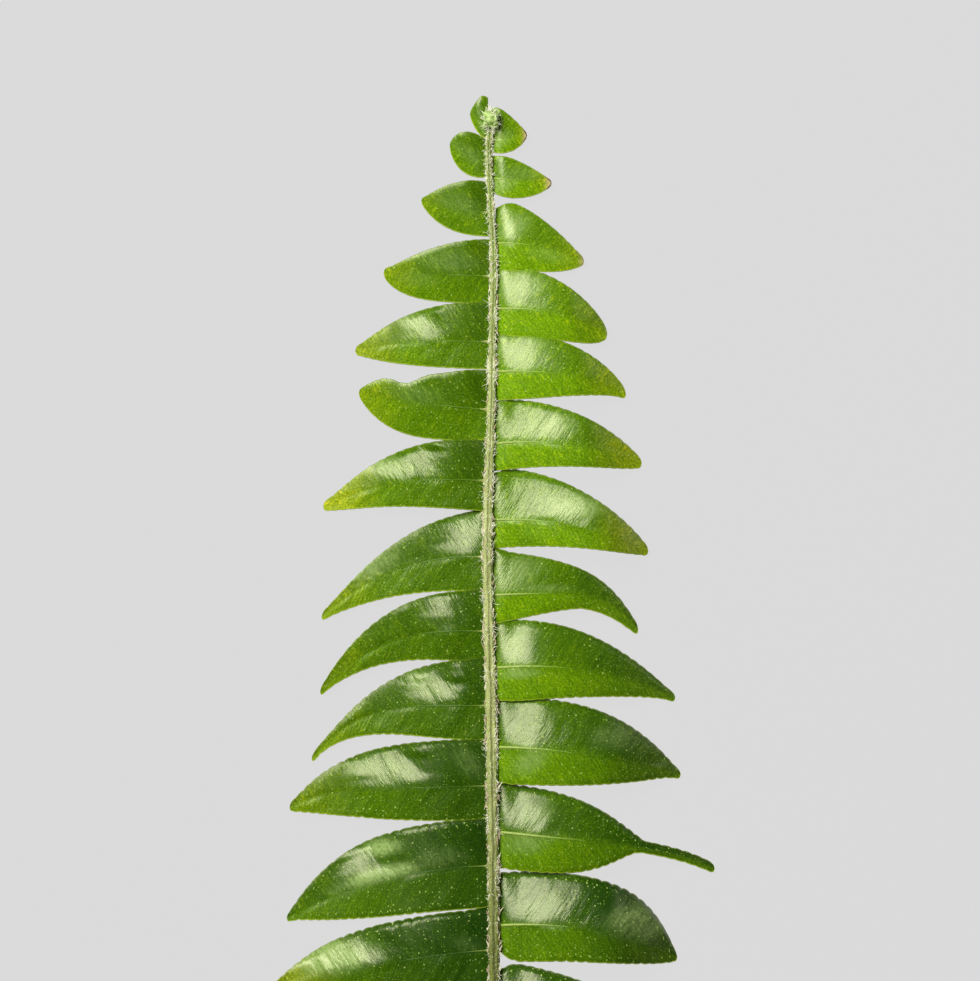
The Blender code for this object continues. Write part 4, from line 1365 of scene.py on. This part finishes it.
def rachis_material(settings, effects):
    """Grooved rachis: pale ridges, an olive groove, darker flanks, and long fine streaks. It
    is greener at the young end and browner towards the stipe."""
    material, w, shader, fine = mottled_material("rachis", effects)
    place = object_mm(w)
    streak = w.mask(w.noise(w.stretched(place, (6.0, 0.35, 6.0)), 1.0, 3.0), 0.3, 0.7)
    wobble = w.times(w.less(w.noise(place, 0.45, 2.0), 0.5), 40.0)
    from_top = w.maths("ABSOLUTE", w.plus(w.less(w.field("angle"), 90.0), wobble))
    green = w.mixed(w.mask(from_top, 5.0, 18.0), settings.groove_olive, settings.ridge_green)
    green = w.mixed(w.mask(from_top, 52.0, 78.0), green, settings.flank_green)
    shade = w.tinted(green, 0.5, 0.52, 0.42)
    green = w.mixed(w.times(streak, 0.55), green, shade)
    green = w.mixed(w.times(fine, 0.3), green, shade)
    along = w.field("place")
    green = w.mixed(w.mask(along, 10.0, -40.0), green, w.tinted(green, 0.27, 0.3, 0.04))
    green = w.mixed(w.mask(along, 25.0, 70.0), green, w.tinted(green, 0.66, 0.78, 0.46))
    cut = w.mask(along, STIPE_END + 0.25, STIPE_END + 0.05)
    green = w.mixed(w.times(cut, 0.7), green, settings.scale_brown)
    finish(w, shader, green, w.weighted(0.42, (streak, 0.15)), w.plus(streak, fine), 0.05)
    return material


def stalk_material(settings, effects):
    """Short stalk: rachis green mottled with brown."""
    material, w, shader, fine = mottled_material("stalk", effects)
    green = w.mixed(w.mask(w.field("along"), 0.2, 1.0), settings.ridge_green, STALK_GREEN)
    green = w.mixed(w.times(fine, 0.5), green, settings.scale_brown)
    finish(w, shader, green, w.weighted(0.45, (fine, 0.1)), fine, 0.04)
    return material


def tip_material(effects):
    """Rolled tip: pale young green under a felt of fine hair."""
    material, w, shader, fine = mottled_material("rolled tip", effects)
    green = w.mixed(fine, YOUNG_GREEN, FELT_GREEN)
    finish(w, shader, green, w.weighted(0.5, (fine, 0.2)), fine, 0.06)
    return material


def fibre_material(name, light, dark, glow, effects):
    """Dry fibre between two tones, mottled along its length; light passes through it, which a weak
    painted glow in its own tone stands for."""
    material, w, shader, fine = mottled_material(name, effects)
    tone = w.mixed(w.field("tone"), light, dark)
    tone = w.mixed(w.times(fine, 0.6), tone, w.tinted(tone, 0.7, 0.68, 0.6))
    # painted glow in the fibre's own tone
    w.feed(shader.inputs["Emission Color"], tone)
    preset(shader, Emission_Strength=glow)
    finish(w, shader, tone, w.weighted(0.6, (fine, 0.15)), fine, 0.02)
    return material


# Studio


def area_light(name, azimuth, elevation, width, power):
    """Hang a square light on a sphere round the middle of the view, facing the middle."""
    data = bpy.data.lights.new(name, "AREA")
    data.shape = "SQUARE"
    data.size = width
    data.energy = power
    lamp = bpy.data.objects.new(name, data)
    a, e = math.radians(azimuth), math.radians(elevation)
    away = np.array([math.cos(a) * math.cos(e), math.sin(a) * math.cos(e), math.sin(e)])
    lamp.location = np.array([*VIEW_MIDDLE, BLADE_PLANE]) * MM + away * LAMP_DISTANCE
    lamp.rotation_euler = Vector(-away).to_track_quat("-Z", "Y").to_euler()
    bpy.context.scene.collection.objects.link(lamp)


def build_floor(settings):
    """Lay a wide pale floor that mostly glows, so that it stays even and almost shadowless."""
    mesh = bpy.data.meshes.new("floor")
    corners = [(x, y, 0.0) for x, y in ((-1, -1), (1, -1), (1, 1), (-1, 1))]
    mesh.from_pydata((np.array(corners) * FLOOR_REACH).tolist(), [], [(0, 1, 2, 3)])
    floor = bpy.data.objects.new("floor", mesh)
    bpy.context.scene.collection.objects.link(floor)
    material, w, shader = new_material("pale floor")
    preset(shader, Base_Color=(0.015, 0.015, 0.015, 1.0), Roughness=1.0, Specular_IOR_Level=0.0,
           Emission_Color=WHITE, Emission_Strength=settings.floor_grey)
    mesh.materials.append(material)


def build_room(settings):
    """Fill the room with an even white light, and show colours as they are."""
    world = bpy.data.worlds.new("room")
    world.use_nodes = True
    preset(world.node_tree.nodes["Background"], Color=WHITE, Strength=settings.room_light)
    bpy.context.scene.world = world
    bpy.context.scene.view_settings.view_transform = "Standard"


def build_camera():
    """Look straight down from where the field of view fits: field times lens over sensor."""
    data = bpy.data.cameras.new("camera")
    data.lens = LENS
    data.sensor_width = SENSOR
    camera = bpy.data.objects.new("camera", data)
    height = VIEW_FIELD * LENS / SENSOR + BLADE_PLANE
    camera.location = (VIEW_MIDDLE[0] * MM, VIEW_MIDDLE[1] * MM, height * MM)
    bpy.context.scene.collection.objects.link(camera)
    bpy.context.scene.camera = camera


# Operators


class FROND_OT_pinnae(bpy.types.Operator):
    """Grow the pinnae"""

    bl_idname = "frond.pinnae"
    bl_label = "Pinnae"

    def execute(self, context):
        settings = context.scene.frond_blades
        grow_pinnae(settings, blade_material(settings, shared_effects()))
        return {"FINISHED"}


class FROND_OT_midribs(bpy.types.Operator):
    """Grow the midribs over the blades"""

    bl_idname = "frond.midribs"
    bl_label = "Midribs"

    def execute(self, context):
        settings = context.scene.frond_blades
        grow_midribs(settings, midrib_material(settings, shared_effects()))
        return {"FINISHED"}


class FROND_OT_rachis(bpy.types.Operator):
    """Grow the rachis, its rolled tip and the stalks that leave it"""

    bl_idname = "frond.rachis"
    bl_label = "Rachis"

    def execute(self, context):
        settings = context.scene.frond_rachis
        effects = shared_effects()
        grow_rachis(settings, rachis_material(settings, effects))
        young = tip_material(effects)
        grow_rolled_tip(young)
        grow_rolled_leaflets(young)
        grow_stalks(context.scene.frond_blades, stalk_material(settings, effects))
        return {"FINISHED"}


class FROND_OT_hairs(bpy.types.Operator):
    """Plant the hairs and scales along the rachis"""

    bl_idname = "frond.hairs"
    bl_label = "Hairs and scales"

    def execute(self, context):
        settings = context.scene.frond_rachis
        effects = shared_effects()
        # the fourth arguments are the strengths of the painted glow
        white = fibre_material("pale hair", settings.hair_white, OLD_HAIR, 0.3, effects)
        brown = fibre_material("dry scale", PALE_SCALE, settings.scale_brown, 0.1, effects)
        grow_hairs(settings, white)
        grow_scales(settings, brown)
        return {"FINISHED"}


class FROND_OT_studio(bpy.types.Operator):
    """Set up the floor, the lights and the camera"""

    bl_idname = "frond.studio"
    bl_label = "Studio"

    def execute(self, context):
        settings = context.scene.frond_studio
        build_floor(settings)
        area_light("key", *KEY_ANGLES, KEY_WIDTH, settings.key_power)
        area_light("side", *SIDE_ANGLES, SIDE_WIDTH, settings.side_power)
        build_room(settings)
        build_camera()
        return {"FINISHED"}


STEPS = (FROND_OT_pinnae, FROND_OT_midribs, FROND_OT_rachis, FROND_OT_hairs, FROND_OT_studio)
GROUPS = {"frond_blades": BladeSettings, "frond_rachis": RachisSettings,
          "frond_studio": StudioSettings}


class FROND_PT_panel(bpy.types.Panel):
    """Lists the settings and the steps"""

    bl_idname = "FROND_PT_panel"
    bl_label = "Fern frond"
    bl_space_type = "VIEW_3D"
    bl_region_type = "UI"
    bl_category = "Frond"

    def draw(self, context):
        for attribute, group in GROUPS.items():
            box = self.layout.box()
            box.label(text=group.__doc__)
            for label in group.__annotations__:
                box.prop(getattr(context.scene, attribute), label)
        for step in STEPS:
            self.layout.operator(step.bl_idname)


CLASSES = (*GROUPS.values(), *STEPS, FROND_PT_panel)


def register():
    """Make the classes known and hang each group of settings on the scene."""
    for each in CLASSES:
        bpy.utils.register_class(each)
    for attribute, group in GROUPS.items():
        setattr(bpy.types.Scene, attribute, PointerProperty(type=group))


def unregister():
    """Take the settings off the scene and forget the classes."""
    for attribute in GROUPS:
        delattr(bpy.types.Scene, attribute)
    for each in reversed(CLASSES):
        bpy.utils.unregister_class(each)


def main():
    """Grow the frond and set up the studio."""
    register()
    bpy.ops.frond.pinnae()
    bpy.ops.frond.midribs()
    bpy.ops.frond.rachis()
    bpy.ops.frond.hairs()
    bpy.ops.frond.studio()


if __name__ == "__main__":
    main()
